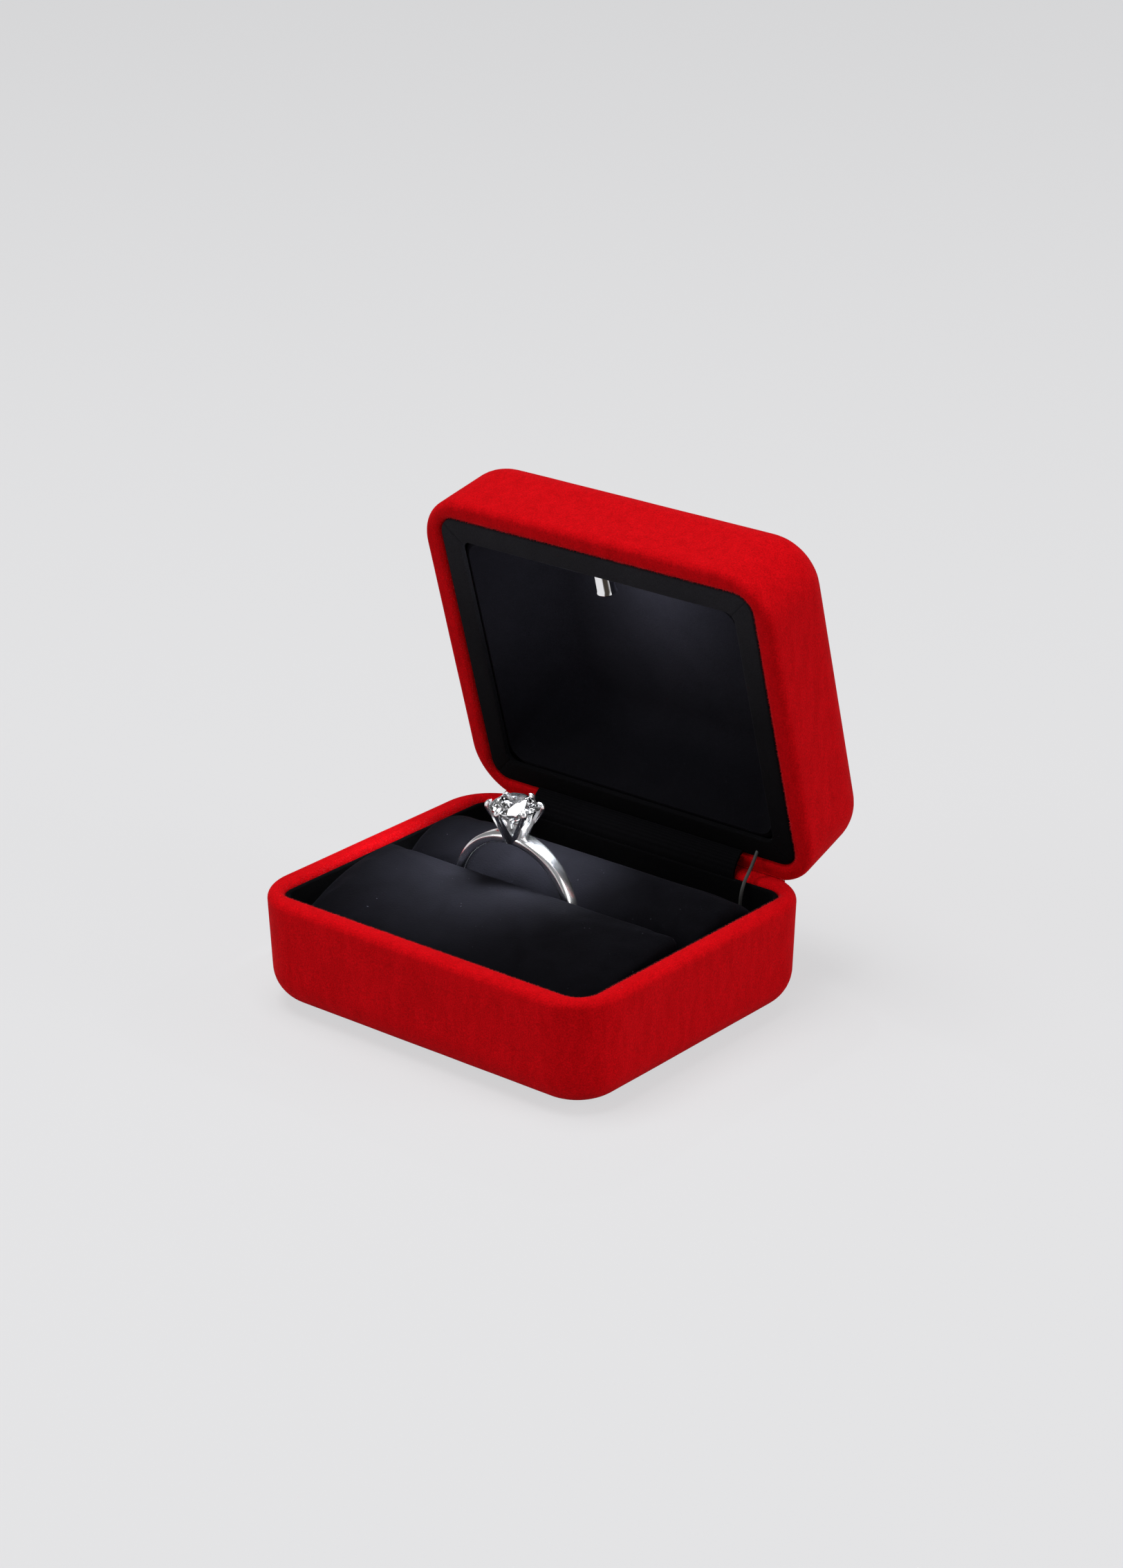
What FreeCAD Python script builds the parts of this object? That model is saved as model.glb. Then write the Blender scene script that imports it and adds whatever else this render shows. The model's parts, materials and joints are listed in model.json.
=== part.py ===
"""A hinged ring box with a lamp in its lid: velvet shells, a padded slot and a battery circuit."""
import FreeCAD, Part
import math
import os

V = FreeCAD.Vector
ORIGIN = V(0, 0, 0)
X_DIR = V(1, 0, 0)
Y_DIR = V(0, 1, 0)
Z_DIR = V(0, 0, 1)
TINY = 0.001
BEYOND = 100.0

# The box: +X is the viewer's right, the front is at -Y, and the underside rests on z = 0.
BOX_W = 62.0
BOX_D = 51.5
BASE_H = 17.2
LID_H = 15.5
RIM_GAP = 0.4
PLAN_R = 8.3
BASE_EDGE_R = 5.4
LID_EDGE_R = 6.0
BASE_TAPER = 0.4
LID_TAPER = 0.5
OPEN_ANGLE = 75.0

# Layers of the walls, from the outside in.
COVER_T = 0.55
GLUE = 0.05
WALL_T = 1.3
END_T = 1.1
RIM_W = 3.3
MOUTH_R = 2.9
RIM_ROUND = 1.15
BEAD_H = 4.0
WRAP_DEPTH = 3.0
SHEET_T = 0.6
HEM_W = 4.0
LINER_T = 0.7
LINER_SET_DOWN = 0.7

# Hinge.
HINGE_SET_IN = 1.25
HINGE_L = 34.0
KNUCKLES = 5
KNUCKLE_GAP = 0.2
KNUCKLE_R = 1.1
PIN_R = 0.6
PIN_FIT = 0.02
PIN_PLAY = 0.05
LEAF_T = 0.55
LEAF_H = 8.0
LEAF_RELIEF = 0.25
BEVEL_SPARE = 2.0
BEVEL_LEAD = 0.2

# Pads and the slot between them.
SLOT_FROM_BACK = 24.4
SLOT_W = 2.7
SOFT_CLEAR = 0.3
PAD_FRONT_DROP = 4.2
PAD_RIDGE_RISE = 0.6
PAD_BELLY_RISE = 0.3
PAD_BELLY_BACK = 8.0
PAD_DRAW_IN = 2.5
PAD_CROWN = 0.25
PAD_SIDE_CLEAR = 0.4
PAD_END_DROP = 1.8
PAD_FOOT_CHAMFER = 2.6
REAR_PAD_D = 14.6
REAR_PAD_LIP_DROP = 2.8
REAR_PAD_BACK_DROP = 1.8
REAR_PAD_CREST_RISE = 0.6
REAR_PAD_CREST_BACK = 9.6
# Stations of a pad's half length, each with its share of the end's drop and draw-in.
PAD_STATIONS = [(1.0, 1.0), (0.955, 0.4), (0.88, 0.1), (0.62, 0.0), (0.3, 0.0)]
SHELF_T = 0.9
SHELF_CLEAR = 0.25

# Battery, its holder and its hatch.
CELL_R = 5.8
CELL_T = 3.05
CELL_RIM = 0.38
CELL_PITCH = 12.6
POCKET_PLAY = 0.2
HOLDER_WALL = 2.5
HOLDER_ROOF = 1.0
STRIP_T = 0.35
STRIP_W = 3.6
TAIL_T = 0.4
HATCH_T = 1.0
HATCH_PLAY = 0.2
BRIDGE_T = 0.3
EAR_W = 6.0
EAR_L = 5.6
TONGUE_W = 4.0
TONGUE_L = 1.5
TONGUE_T = 0.7
SCREW_R = 0.75
SCREW_HEAD_R = 1.7
SCREW_HEAD_T = 0.85
SCREW_L = 4.2
SCREW_SLOT_W = 0.5

# Circuit board, lid switch and leads.
BOARD_T = 0.8
BOARD_W = 8.0
BOARD_D = 14.0
BOARD_GAP = 1.0
BOARD_SET_BACK = 0.8
SWITCH_W = 5.6
SWITCH_D = 4.2
PLUNGER_R = 0.9
PLUNGER_PLAY = 0.1
PLUNGER_TRAVEL = 1.5
PLUNGER_PROUD = 2.0
PLUNGER_HOLD = 1.2
PLUNGER_TIP_ROUND = 0.4
RESISTOR_R = 0.8
RESISTOR_L = 4.0
RESISTOR_ROUND = 0.25
LEAD_R = 0.25
LEAD_FROM_SIDE = 10.0
LEAD_BEND_R = 3.0
LEAD_KNEE_R = 2.0
LEAD_WALL_GAP = 1.2
LEAD_JOIN_DROP = 3.4
LEAD_IN = 4.05
LEAD_ENTRY_IN = 4.9
LEAD_DEPTH = 2.6

# Fabric ribbon that hides the hinge from inside.
RIBBON_T = 0.4
RIBBON_OVER = 1.6
RIBBON_LAP = 0.5
RIBBON_BULGE = 0.5

# Lid lining and lamp.
BORDER_W = 3.4
BORDER_SET_DOWN = 0.35
TRAY_T = 0.8
TRAY_STEP = 0.4
TRAY_SLOPE = 4.2
TRAY_FLOOR_R = 5.0
TRAY_MOUTH_R = 2.6
TRAY_CORNER_R = 6.5
LAMP_DEPTH = 2.6
LAMP_R = 1.0
LAMP_REACH = 3.7
LAMP_TIP = 0.05
LAMP_FLANGE_R = 1.3
LAMP_FLANGE_T = 0.8
LAMP_PIN_R = 0.25
LAMP_PIN_L = 0.9
LAMP_PIN_PITCH = 1.3
BEZEL_WALL = 0.35
BEZEL_PLAY = 0.05
BEZEL_LIP_R = 1.5
BEZEL_LIP_T = 0.6
BEZEL_TAIL = 0.4

# Ring in the slot.
RING_X = -4.0
RING_R = 11.0
RING_BORE_R = 9.4
BAND_W = 2.2
BAND_EDGE_W = 1.2
RING_FLOOR_GAP = 0.15
HEAD_FOOT_R = 1.5
HEAD_TOP_R = 3.75
HEAD_H = 4.9
HEAD_SINK = 1.3
HEAD_FOOT_SHARE = 0.2
HEAD_TURN = 30.0
CUP_T = 0.5
WINDOW_W = 2.75
WINDOW_FOOT_SHARE = 0.28
CLAW_START_SHARE = 0.6
CLAWS = 6
CLAW_R = 0.42
CLAW_PROUD = 0.95
STONE_R = 3.6
STONE_CROWN_H = 1.15
STONE_GIRDLE_T = 0.2
STONE_PAVILION_H = 3.05
STONE_TABLE = 0.57
STONE_SIDES = 8
STONE_CULET_R = 0.18
STONE_SEAT_GAP = 0.05

# Levels and places that follow from the sizes above.
LID_Z = BASE_H + RIM_GAP
HINGE_Y = BOX_D / 2 - HINGE_SET_IN
HINGE_Z = BASE_H + RIM_GAP / 2
HINGE = V(0, HINGE_Y, HINGE_Z)
SHELL_IN = COVER_T + GLUE
INSIDE_IN = SHELL_IN + WALL_T
BEAD_IN = RIM_W - COVER_T - GLUE
LINER_OUT_IN = RIM_W + GLUE
LINER_IN = LINER_OUT_IN + LINER_T
FLOOR_Z = SHEET_T + SHELL_IN + END_T
SLOT_Y = BOX_D / 2 - SLOT_FROM_BACK
SLOT_FRONT_Y = SLOT_Y - SLOT_W / 2
SLOT_REAR_Y = SLOT_Y + SLOT_W / 2
PAD_FRONT_Y = -(BOX_D / 2 - LINER_IN - SOFT_CLEAR)
PAD_HALF_L = BOX_W / 2 - LINER_IN - PAD_SIDE_CLEAR
REAR_PAD_BACK_Y = SLOT_REAR_Y + REAR_PAD_D

HATCH_Z = FLOOR_Z - GLUE - HATCH_T
CELL_Z = HATCH_Z + HATCH_T + BRIDGE_T
STRIP_Z = CELL_Z + CELL_T
POCKET_R = CELL_R + POCKET_PLAY
HOLDER_Z = FLOOR_Z + GLUE
HOLDER_TOP_Z = STRIP_Z + STRIP_T + GLUE + HOLDER_ROOF
HOLDER_HALF_D = POCKET_R + HOLDER_WALL
CELL_Y = SLOT_REAR_Y + HOLDER_HALF_D
HOLDER_LEFT_X = -(CELL_PITCH / 2 + POCKET_R + HOLDER_WALL)
HOLDER_RIGHT_X = CELL_PITCH / 2 + POCKET_R + EAR_L + SCREW_R
WINDOW_HALF_W = CELL_PITCH / 2 + POCKET_R + HATCH_PLAY
WINDOW_HALF_D = POCKET_R + HATCH_PLAY
SCREW_X = WINDOW_HALF_W + EAR_L / 2
SHELF_Z = HOLDER_TOP_Z + GLUE
REAR_PAD_Z = SHELF_Z + SHELF_T + GLUE

BOARD_Z = FLOOR_Z + GLUE
BOARD_TOP_Z = BOARD_Z + BOARD_T
BOARD_RIGHT_X = HOLDER_LEFT_X - BOARD_GAP
BOARD_X = BOARD_RIGHT_X - BOARD_W / 2
BOARD_Y = CELL_Y + BOARD_SET_BACK
SWITCH_Y = BOARD_Y + BOARD_D / 2
SWITCH_TOP_Z = SHELF_Z - GLUE
PLUNGER_TOP_Z = BASE_H + PLUNGER_PROUD
LEAD_X = BOX_W / 2 - LEAD_FROM_SIDE
LEAD_JOIN_Z = BASE_H - LEAD_JOIN_DROP
LEAD_Y = BOX_D / 2 - LINER_IN - LEAD_WALL_GAP
LEAD_Z = BOARD_TOP_Z + 2 * LEAD_R

BORDER_IN = LINER_OUT_IN + BORDER_W
BORDER_Z = LID_Z + BORDER_SET_DOWN
TRAY_IN = BORDER_IN + TRAY_STEP
TRAY_Z = BORDER_Z + LINER_T + GLUE
TRAY_TOP_Z = LID_Z + LID_H - SHELL_IN - END_T - GLUE
LAMP_Z = LID_Z + LAMP_DEPTH
BORDER_FRONT_Y = -(BOX_D / 2 - BORDER_IN)
BEZEL_FRONT_Y = BORDER_FRONT_Y + LAMP_REACH - LAMP_TIP
BEZEL_BACK_Y = BORDER_FRONT_Y - LINER_T - BEZEL_TAIL
BEZEL_R = LAMP_R + BEZEL_PLAY + BEZEL_WALL
LEAD_ENTRY_Y = BOX_D / 2 - LEAD_ENTRY_IN

RING_Z = FLOOR_Z + RING_FLOOR_GAP + RING_R
HEAD_Z = RING_Z + RING_R - HEAD_SINK


def box(x0, x1, y0, y1, z0, z1):
    """Box between two corners."""
    return Part.makeBox(x1 - x0, y1 - y0, z1 - z0, V(x0, y0, z0))


def rod(radius, start, end):
    """Round bar from one point to another."""
    run = end - start
    return Part.makeCylinder(radius, run.Length, start, run)


def fused(shapes):
    """One clean solid from overlapping shapes."""
    return shapes[0].multiFuse(shapes[1:]).removeSplitter()


def rounded_rect(width, depth, radius, z):
    """Closed wire of a rectangle with round corners, centred on the Z axis."""
    half_w = width / 2
    half_d = depth / 2
    mid = radius * (1 - math.sqrt(0.5))
    edges = []
    corners = [(1, -1), (1, 1), (-1, 1), (-1, -1)]
    ends = []
    for sx, sy in corners:
        on_side = V(sx * half_w, sy * (half_d - radius), z)
        on_front = V(sx * (half_w - radius), sy * half_d, z)
        middle = V(sx * (half_w - mid), sy * (half_d - mid), z)
        first, last = (on_front, on_side) if sx * sy < 0 else (on_side, on_front)
        ends.append((first, middle, last))
    for index, (first, middle, last) in enumerate(ends):
        edges.append(Part.Arc(first, middle, last).toShape())
        edges.append(Part.LineSegment(last, ends[(index + 1) % len(ends)][0]).toShape())
    return Part.Wire(edges)


def well(inset, z0, z1):
    """Straight-sided block of the box's plan outline, drawn in by an inset."""
    wire = rounded_rect(BOX_W - 2 * inset, BOX_D - 2 * inset, max(PLAN_R - inset, LINER_T), z0)
    return Part.Face(wire).extrude(V(0, 0, z1 - z0))


def mouth(inset, z0, z1):
    """Block of the rim's mouth, whose corners are tighter than the box's, drawn in by an inset."""
    radius = max(MOUTH_R + RIM_W - inset, LINER_T)
    wire = rounded_rect(BOX_W - 2 * inset, BOX_D - 2 * inset, radius, z0)
    return Part.Face(wire).extrude(V(0, 0, z1 - z0))


def bowl(height, edge_r, taper, inset, bottom, top):
    """Filled half of the box, mouth up: its rim is at z = 0 and its closed end at z = -height."""
    outlines = []
    for z in (bottom, top):
        draw = inset - taper * z / height
        outlines.append(rounded_rect(BOX_W - 2 * draw, BOX_D - 2 * draw, PLAN_R - draw, z))
    solid = Part.makeLoft(outlines, True, True)
    low_edges = [edge for edge in solid.Edges if edge.BoundBox.ZMax < bottom + TINY]
    return solid.makeFillet(edge_r - inset, low_edges)


def half_cover(height, edge_r, taper):
    """Velvet skin of one half, mouth up, folded over the rim and a little way down inside."""
    outside = bowl(height, edge_r, taper, 0, -height, 0)
    outside = outside.cut(mouth(RIM_W, -WRAP_DEPTH, BEYOND))
    rim_edges = [edge for edge in outside.Edges if edge.BoundBox.ZMin > -TINY]
    outside = outside.makeFillet(RIM_ROUND, rim_edges)
    core = bowl(height, edge_r, taper, COVER_T, COVER_T - height, -COVER_T)
    core = core.cut(mouth(RIM_W - COVER_T, -WRAP_DEPTH, BEYOND))
    return outside.cut(core)


def half_shell(height, edge_r, taper):
    """Moulded shell of one half, mouth up, with a thicker bead at its rim."""
    outside = bowl(height, edge_r, taper, SHELL_IN, SHELL_IN - height, -SHELL_IN)
    inside = bowl(height, edge_r, taper, INSIDE_IN, SHELL_IN + END_T - height, -BEAD_H)
    return outside.cut(inside).cut(mouth(BEAD_IN, -BEAD_H - TINY, BEYOND))


def lifted(shape, z):
    """Move a shape up."""
    shape.translate(V(0, 0, z))
    return shape


def turned_over(shape, z):
    """Turn a mouth-up half into a mouth-down one with its rim at z."""
    flipped = shape.mirror(ORIGIN, Z_DIR)
    flipped.translate(V(0, 0, z))
    return flipped


def opened(shape):
    """Swing a piece of the closed lid to the open rest pose."""
    shape.rotate(HINGE, X_DIR, -OPEN_ANGLE)
    return shape


def mirrored_at_hinge(shape):
    """The lid's twin of a base piece, mirrored in the level plane through the hinge line."""
    return shape.mirror(HINGE, Z_DIR)


def hinge_room():
    """Space cleared in the base's rear rim: a bevel for the swing and a notch for the hinge."""
    half = math.radians(OPEN_ANGLE + BEVEL_SPARE) / 2
    start_y = HINGE_Y - BEVEL_LEAD
    drop = BOX_D * math.tan(half)
    outline = [
        V(-BOX_W, start_y, HINGE_Z),
        V(-BOX_W, start_y + BOX_D, HINGE_Z - drop),
        V(-BOX_W, start_y + BOX_D, HINGE_Z + BASE_H),
        V(-BOX_W, start_y, HINGE_Z + BASE_H),
    ]
    wedge = Part.Face(Part.makePolygon(outline + outline[:1])).extrude(V(2 * BOX_W, 0, 0))
    half_l = HINGE_L / 2 + LEAF_RELIEF
    leaf_y = BOX_D / 2 - BEAD_IN - LEAF_T - 2 * GLUE
    notch = box(-half_l, half_l, leaf_y, BOX_D, HINGE_Z - KNUCKLE_R - LEAF_RELIEF, HINGE_Z + BASE_H)
    leaf_bay = box(-half_l, half_l, leaf_y, BOX_D / 2 - BEAD_IN, BASE_H - WRAP_DEPTH, HINGE_Z)
    return wedge, notch, leaf_bay


def clear_of_hinge(shape, on_lid):
    """Cut the hinge's room out of a rim."""
    for room in hinge_room():
        shape = shape.cut(mirrored_at_hinge(room) if on_lid else room)
    return shape


def hatch_window(play):
    """Outline of the battery hatch, wider all round by a play, as a tall block."""
    body = box(
        -WINDOW_HALF_W - play, WINDOW_HALF_W + play,
        CELL_Y - WINDOW_HALF_D - play, CELL_Y + WINDOW_HALF_D + play,
        -BEYOND, FLOOR_Z + GLUE / 2,
    )
    ear = box(
        0, WINDOW_HALF_W + EAR_L + play,
        CELL_Y - EAR_W / 2 - play, CELL_Y + EAR_W / 2 + play,
        -BEYOND, FLOOR_Z + GLUE / 2,
    )
    return fused([body, ear])


def base_cover():
    """Velvet skin of the base, with a hem turned under the floor."""
    cover = lifted(half_cover(BASE_H - SHEET_T, BASE_EDGE_R, BASE_TAPER), BASE_H)
    cover = cover.cut(well(BASE_EDGE_R + BASE_TAPER + HEM_W, -BEYOND, SHEET_T + COVER_T + GLUE / 2))
    return clear_of_hinge(cover.cut(hatch_window(2 * HATCH_PLAY)), False)


def base_shell():
    """Moulded base with a window for the battery hatch."""
    shell = lifted(half_shell(BASE_H - SHEET_T, BASE_EDGE_R, BASE_TAPER), BASE_H)
    return clear_of_hinge(shell.cut(hatch_window(HATCH_PLAY)), False)


def bottom_sheet():
    """Felt sheet glued under the base, open at the hatch."""
    sheet = well(BASE_EDGE_R + BASE_TAPER + GLUE, 0, SHEET_T)
    return sheet.cut(hatch_window(2 * HATCH_PLAY))


def base_liner():
    """Black flocked collar inside the base's wall."""
    top = BASE_H - LINER_SET_DOWN
    low = SHELF_Z + SHELF_T + GLUE
    return mouth(LINER_OUT_IN, low, top).cut(mouth(LINER_IN, low - TINY, top + TINY))


def pad_section(x, foot, front, belly, rear):
    """Cross-section of a pad at x: straight foot and sides, and a top arched from front to rear."""
    corners = [V(x, *rear)] + [V(x, *point) for point in foot] + [V(x, *front)]
    edges = [Part.LineSegment(start, end).toShape() for start, end in zip(corners, corners[1:])]
    edges.append(Part.Arc(corners[-1], V(x, *belly), corners[0]).toShape())
    return Part.Wire(edges)


def pad(front, belly, rear, underside, chamfer):
    """Crowned pad lofted along X: full in the middle, drawn in and rounded down at its ends.

    front, belly and rear are (y, z) points of the arched top, and the chamfer clears the front's foot.
    """
    sections = []
    for share, drawn in PAD_STATIONS + [(-share, drawn) for share, drawn in reversed(PAD_STATIONS)]:
        down = drawn * PAD_END_DROP
        pull = drawn * PAD_DRAW_IN if chamfer else 0
        level = underside + drawn * chamfer
        side_y = front[0] + pull
        foot = [(rear[0], level), (side_y + chamfer, level)]
        if chamfer:
            foot.append((side_y, level + chamfer))
        crest = (belly[0], belly[1] - down + PAD_CROWN * (1 - share * share))
        top_front = (side_y, front[1] - down)
        top_rear = (rear[0], rear[1] - down)
        sections.append(pad_section(share * PAD_HALF_L, foot, top_front, crest, top_rear))
    return Part.makeLoft(sections, True, False)


def front_pad():
    """Large front pad that rises from the front rim to the slot."""
    front = (PAD_FRONT_Y, BASE_H - PAD_FRONT_DROP)
    belly = (SLOT_FRONT_Y - PAD_BELLY_BACK, BASE_H + PAD_BELLY_RISE)
    ridge = (SLOT_FRONT_Y, BASE_H + PAD_RIDGE_RISE)
    return pad(front, belly, ridge, FLOOR_Z + SOFT_CLEAR, PAD_FOOT_CHAMFER)


def rear_pad():
    """Rear pad behind the slot, on its shelf."""
    lip = (SLOT_REAR_Y, BASE_H - REAR_PAD_LIP_DROP)
    crest = (SLOT_REAR_Y + REAR_PAD_CREST_BACK, BASE_H + REAR_PAD_CREST_RISE)
    back = (REAR_PAD_BACK_Y, BASE_H - REAR_PAD_BACK_DROP)
    return pad(lip, crest, back, REAR_PAD_Z, 0)


def plunger_bore(z0, z1):
    """Clearance hole for the switch plunger."""
    return rod(PLUNGER_R + PLUNGER_PLAY, V(BOARD_X, SWITCH_Y, z0), V(BOARD_X, SWITCH_Y, z1))


def pad_shelf():
    """Thin board that carries the rear pad over the battery holder."""
    top = SHELF_Z + SHELF_T
    shelf = well(LINER_IN + SHELF_CLEAR, SHELF_Z, top)
    shelf = shelf.cut(box(-BOX_W, BOX_W, -BOX_D, SLOT_REAR_Y + SHELF_CLEAR, SHELF_Z - TINY, top + TINY))
    lead_foot = V(LEAD_X, LEAD_Y, SHELF_Z - TINY)
    lead_hole = rod(LEAD_R + SHELF_CLEAR, lead_foot, V(LEAD_X, LEAD_Y, top + TINY))
    return shelf.cut(plunger_bore(SHELF_Z - TINY, top + TINY)).cut(lead_hole)


def tail(y0, y1, grow):
    """End of a contact strip, bent down to the circuit board."""
    x0 = BOARD_RIGHT_X - TAIL_T - grow
    x1 = BOARD_RIGHT_X + grow
    return box(x0, x1, y0 - grow, y1 + grow, BOARD_TOP_Z, STRIP_Z + STRIP_T + grow)


def positive_strip(grow):
    """Strip from the left cell's cap to the board."""
    y0 = CELL_Y - STRIP_W / 2
    y1 = CELL_Y + STRIP_W / 2
    x0 = BOARD_RIGHT_X - TAIL_T
    x1 = -CELL_PITCH / 2 + STRIP_W / 2
    top = STRIP_Z + STRIP_T + grow
    run = box(x0 - grow, x1 + grow, y0 - grow, y1 + grow, STRIP_Z, top)
    return fused([run, tail(y0, y1, grow)])


def negative_strip(grow):
    """Strip from the right cell, round behind the left one, to the board."""
    y0 = CELL_Y + POCKET_R + HOLDER_WALL / 4
    y1 = y0 + HOLDER_WALL / 2
    x0 = CELL_PITCH / 2 - STRIP_W / 2
    x1 = CELL_PITCH / 2 + STRIP_W / 2
    top = STRIP_Z + STRIP_T + grow
    reach = box(x0 - grow, x1 + grow, CELL_Y - STRIP_W / 2 - grow, y1 + grow, STRIP_Z, top)
    run = box(BOARD_RIGHT_X - TAIL_T - grow, x1 + grow, y0 - grow, y1 + grow, STRIP_Z, top)
    return fused([reach, run, tail(y0, y1, grow)])


def tongue(grow):
    """Hook at the hatch's left end that holds it behind the floor."""
    x1 = -WINDOW_HALF_W + 2 * HATCH_PLAY
    y0 = CELL_Y - TONGUE_W / 2 - grow
    y1 = CELL_Y + TONGUE_W / 2 + grow
    z0 = FLOOR_Z + GLUE
    return box(-WINDOW_HALF_W - TONGUE_L - grow, x1 + grow, y0, y1, z0 - grow, z0 + TONGUE_T + grow)


def battery_holder():
    """Moulded block with two pockets that open through the floor."""
    holder = box(
        HOLDER_LEFT_X, HOLDER_RIGHT_X, CELL_Y - HOLDER_HALF_D, CELL_Y + HOLDER_HALF_D,
        HOLDER_Z, HOLDER_TOP_Z,
    )
    ceiling = STRIP_Z + STRIP_T + GLUE
    for x in (-CELL_PITCH / 2, CELL_PITCH / 2):
        holder = holder.cut(rod(POCKET_R, V(x, CELL_Y, HOLDER_Z - TINY), V(x, CELL_Y, ceiling)))
    holder = holder.cut(tongue(HATCH_PLAY))
    holder = holder.cut(positive_strip(GLUE)).cut(negative_strip(GLUE)).cut(contact_bridge(GLUE))
    hole_foot = V(SCREW_X, CELL_Y, HOLDER_Z - TINY)
    hole_top = V(SCREW_X, CELL_Y, HOLDER_TOP_Z - HOLDER_ROOF)
    return holder.cut(rod(SCREW_R + GLUE, hole_foot, hole_top))


def button_cells():
    """Two button cells, each with a narrower cap below."""
    cells = []
    for x in (-CELL_PITCH / 2, CELL_PITCH / 2):
        can = rod(CELL_R, V(x, CELL_Y, CELL_Z + CELL_RIM), V(x, CELL_Y, CELL_Z + CELL_T))
        cap = rod(CELL_R - 2 * CELL_RIM, V(x, CELL_Y, CELL_Z), V(x, CELL_Y, CELL_Z + 2 * CELL_RIM))
        cells.append(fused([can, cap]))
    return Part.makeCompound(cells)


def contact_bridge(grow):
    """Plate on the hatch that joins the two cells."""
    half_l = CELL_PITCH / 2 + STRIP_W / 2 + grow
    half_w = STRIP_W / 2 + grow
    z0 = HATCH_Z + HATCH_T
    return box(-half_l, half_l, CELL_Y - half_w, CELL_Y + half_w, z0, z0 + BRIDGE_T + grow)


def battery_hatch():
    """Door under the base, hooked at one end and held by a screw at the other."""
    plate = hatch_window(-HATCH_PLAY / 2).common(
        box(-BOX_W, BOX_W, -BOX_D, BOX_D, HATCH_Z, HATCH_Z + HATCH_T)
    )
    x1 = -WINDOW_HALF_W + 2 * HATCH_PLAY
    web = box(
        -WINDOW_HALF_W + HATCH_PLAY, x1, CELL_Y - TONGUE_W / 2, CELL_Y + TONGUE_W / 2,
        HATCH_Z, FLOOR_Z + GLUE + TONGUE_T,
    )
    hatch = fused([plate, web, tongue(0)])
    hole = rod(SCREW_R + HATCH_PLAY, V(SCREW_X, CELL_Y, 0), V(SCREW_X, CELL_Y, FLOOR_Z))
    return hatch.cut(hole)


def hatch_screw():
    """Slotted screw of the hatch."""
    head_z = HATCH_Z - SCREW_HEAD_T
    head = rod(SCREW_HEAD_R, V(SCREW_X, CELL_Y, head_z), V(SCREW_X, CELL_Y, HATCH_Z))
    shank = rod(SCREW_R, V(SCREW_X, CELL_Y, head_z + TINY), V(SCREW_X, CELL_Y, head_z + SCREW_L))
    slot = box(
        SCREW_X - BEYOND, SCREW_X + BEYOND, CELL_Y - SCREW_SLOT_W / 2, CELL_Y + SCREW_SLOT_W / 2,
        -BEYOND, head_z + SCREW_HEAD_T / 2,
    )
    return fused([head, shank]).cut(slot)


def circuit_board():
    """Small board beside the battery holder."""
    y0 = BOARD_Y - BOARD_D / 2
    return box(BOARD_RIGHT_X - BOARD_W, BOARD_RIGHT_X, y0, y0 + BOARD_D, BOARD_Z, BOARD_TOP_Z)


def resistor():
    """Lamp resistor on the board."""
    z = BOARD_TOP_Z + RESISTOR_R
    y = BOARD_Y - BOARD_D / 4
    body = rod(RESISTOR_R, V(BOARD_X - RESISTOR_L / 2, y, z), V(BOARD_X + RESISTOR_L / 2, y, z))
    ends = [edge for edge in body.Edges if edge.Closed]
    return body.makeFillet(RESISTOR_ROUND, ends)


def switch_body():
    """Push switch on the board, with the plunger's bore in its top."""
    body = box(
        BOARD_X - SWITCH_W / 2, BOARD_X + SWITCH_W / 2, SWITCH_Y - SWITCH_D / 2, SWITCH_Y + SWITCH_D / 2,
        BOARD_TOP_Z, SWITCH_TOP_Z,
    )
    return body.cut(plunger_bore(SWITCH_TOP_Z - PLUNGER_HOLD - PLUNGER_TRAVEL - PLUNGER_PLAY, BEYOND))


def switch_plunger():
    """Rod that the closing lid presses down."""
    foot = SWITCH_TOP_Z - PLUNGER_HOLD
    plunger = rod(PLUNGER_R, V(BOARD_X, SWITCH_Y, foot), V(BOARD_X, SWITCH_Y, PLUNGER_TOP_Z))
    tip = [edge for edge in plunger.Edges if edge.Closed and edge.BoundBox.ZMin > PLUNGER_TOP_Z - TINY]
    return plunger.makeFillet(PLUNGER_TIP_ROUND, tip)


def tube(points, radius, bend):
    """Round lead through points, with a tangent arc at each bend."""
    edges = []
    start = points[0]
    for before, here, after in zip(points, points[1:], points[2:]):
        back = (before - here).normalize()
        ahead = (after - here).normalize()
        half_turn = (math.pi - back.getAngle(ahead)) / 2
        reach = bend * math.tan(half_turn)
        enter = here + back * reach
        leave = here + ahead * reach
        inward = (back + ahead).normalize()
        middle = here + inward * (bend / math.cos(half_turn) - bend)
        edges.append(Part.LineSegment(start, enter).toShape())
        edges.append(Part.Arc(enter, middle, leave).toShape())
        start = leave
    edges.append(Part.LineSegment(start, points[-1]).toShape())
    path = Part.Wire(edges)
    profile = Part.Wire(Part.Circle(points[0], points[1] - points[0], radius).toShape())
    lead = path.makePipeShell([profile], True, True)
    ideal = math.pi * radius * radius * path.Length
    print("lead of length", round(path.Length, 2), "volume ratio", round(lead.Volume / ideal, 4))
    return lead


def base_lead():
    """Lamp lead from the board, behind the battery holder and up at the right rear."""
    start = V(BOARD_RIGHT_X - BOARD_GAP, LEAD_Y, LEAD_Z)
    corner = V(LEAD_X, LEAD_Y, LEAD_Z)
    return tube([start, corner, V(LEAD_X, LEAD_Y, LEAD_JOIN_Z)], LEAD_R, LEAD_BEND_R)


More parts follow.
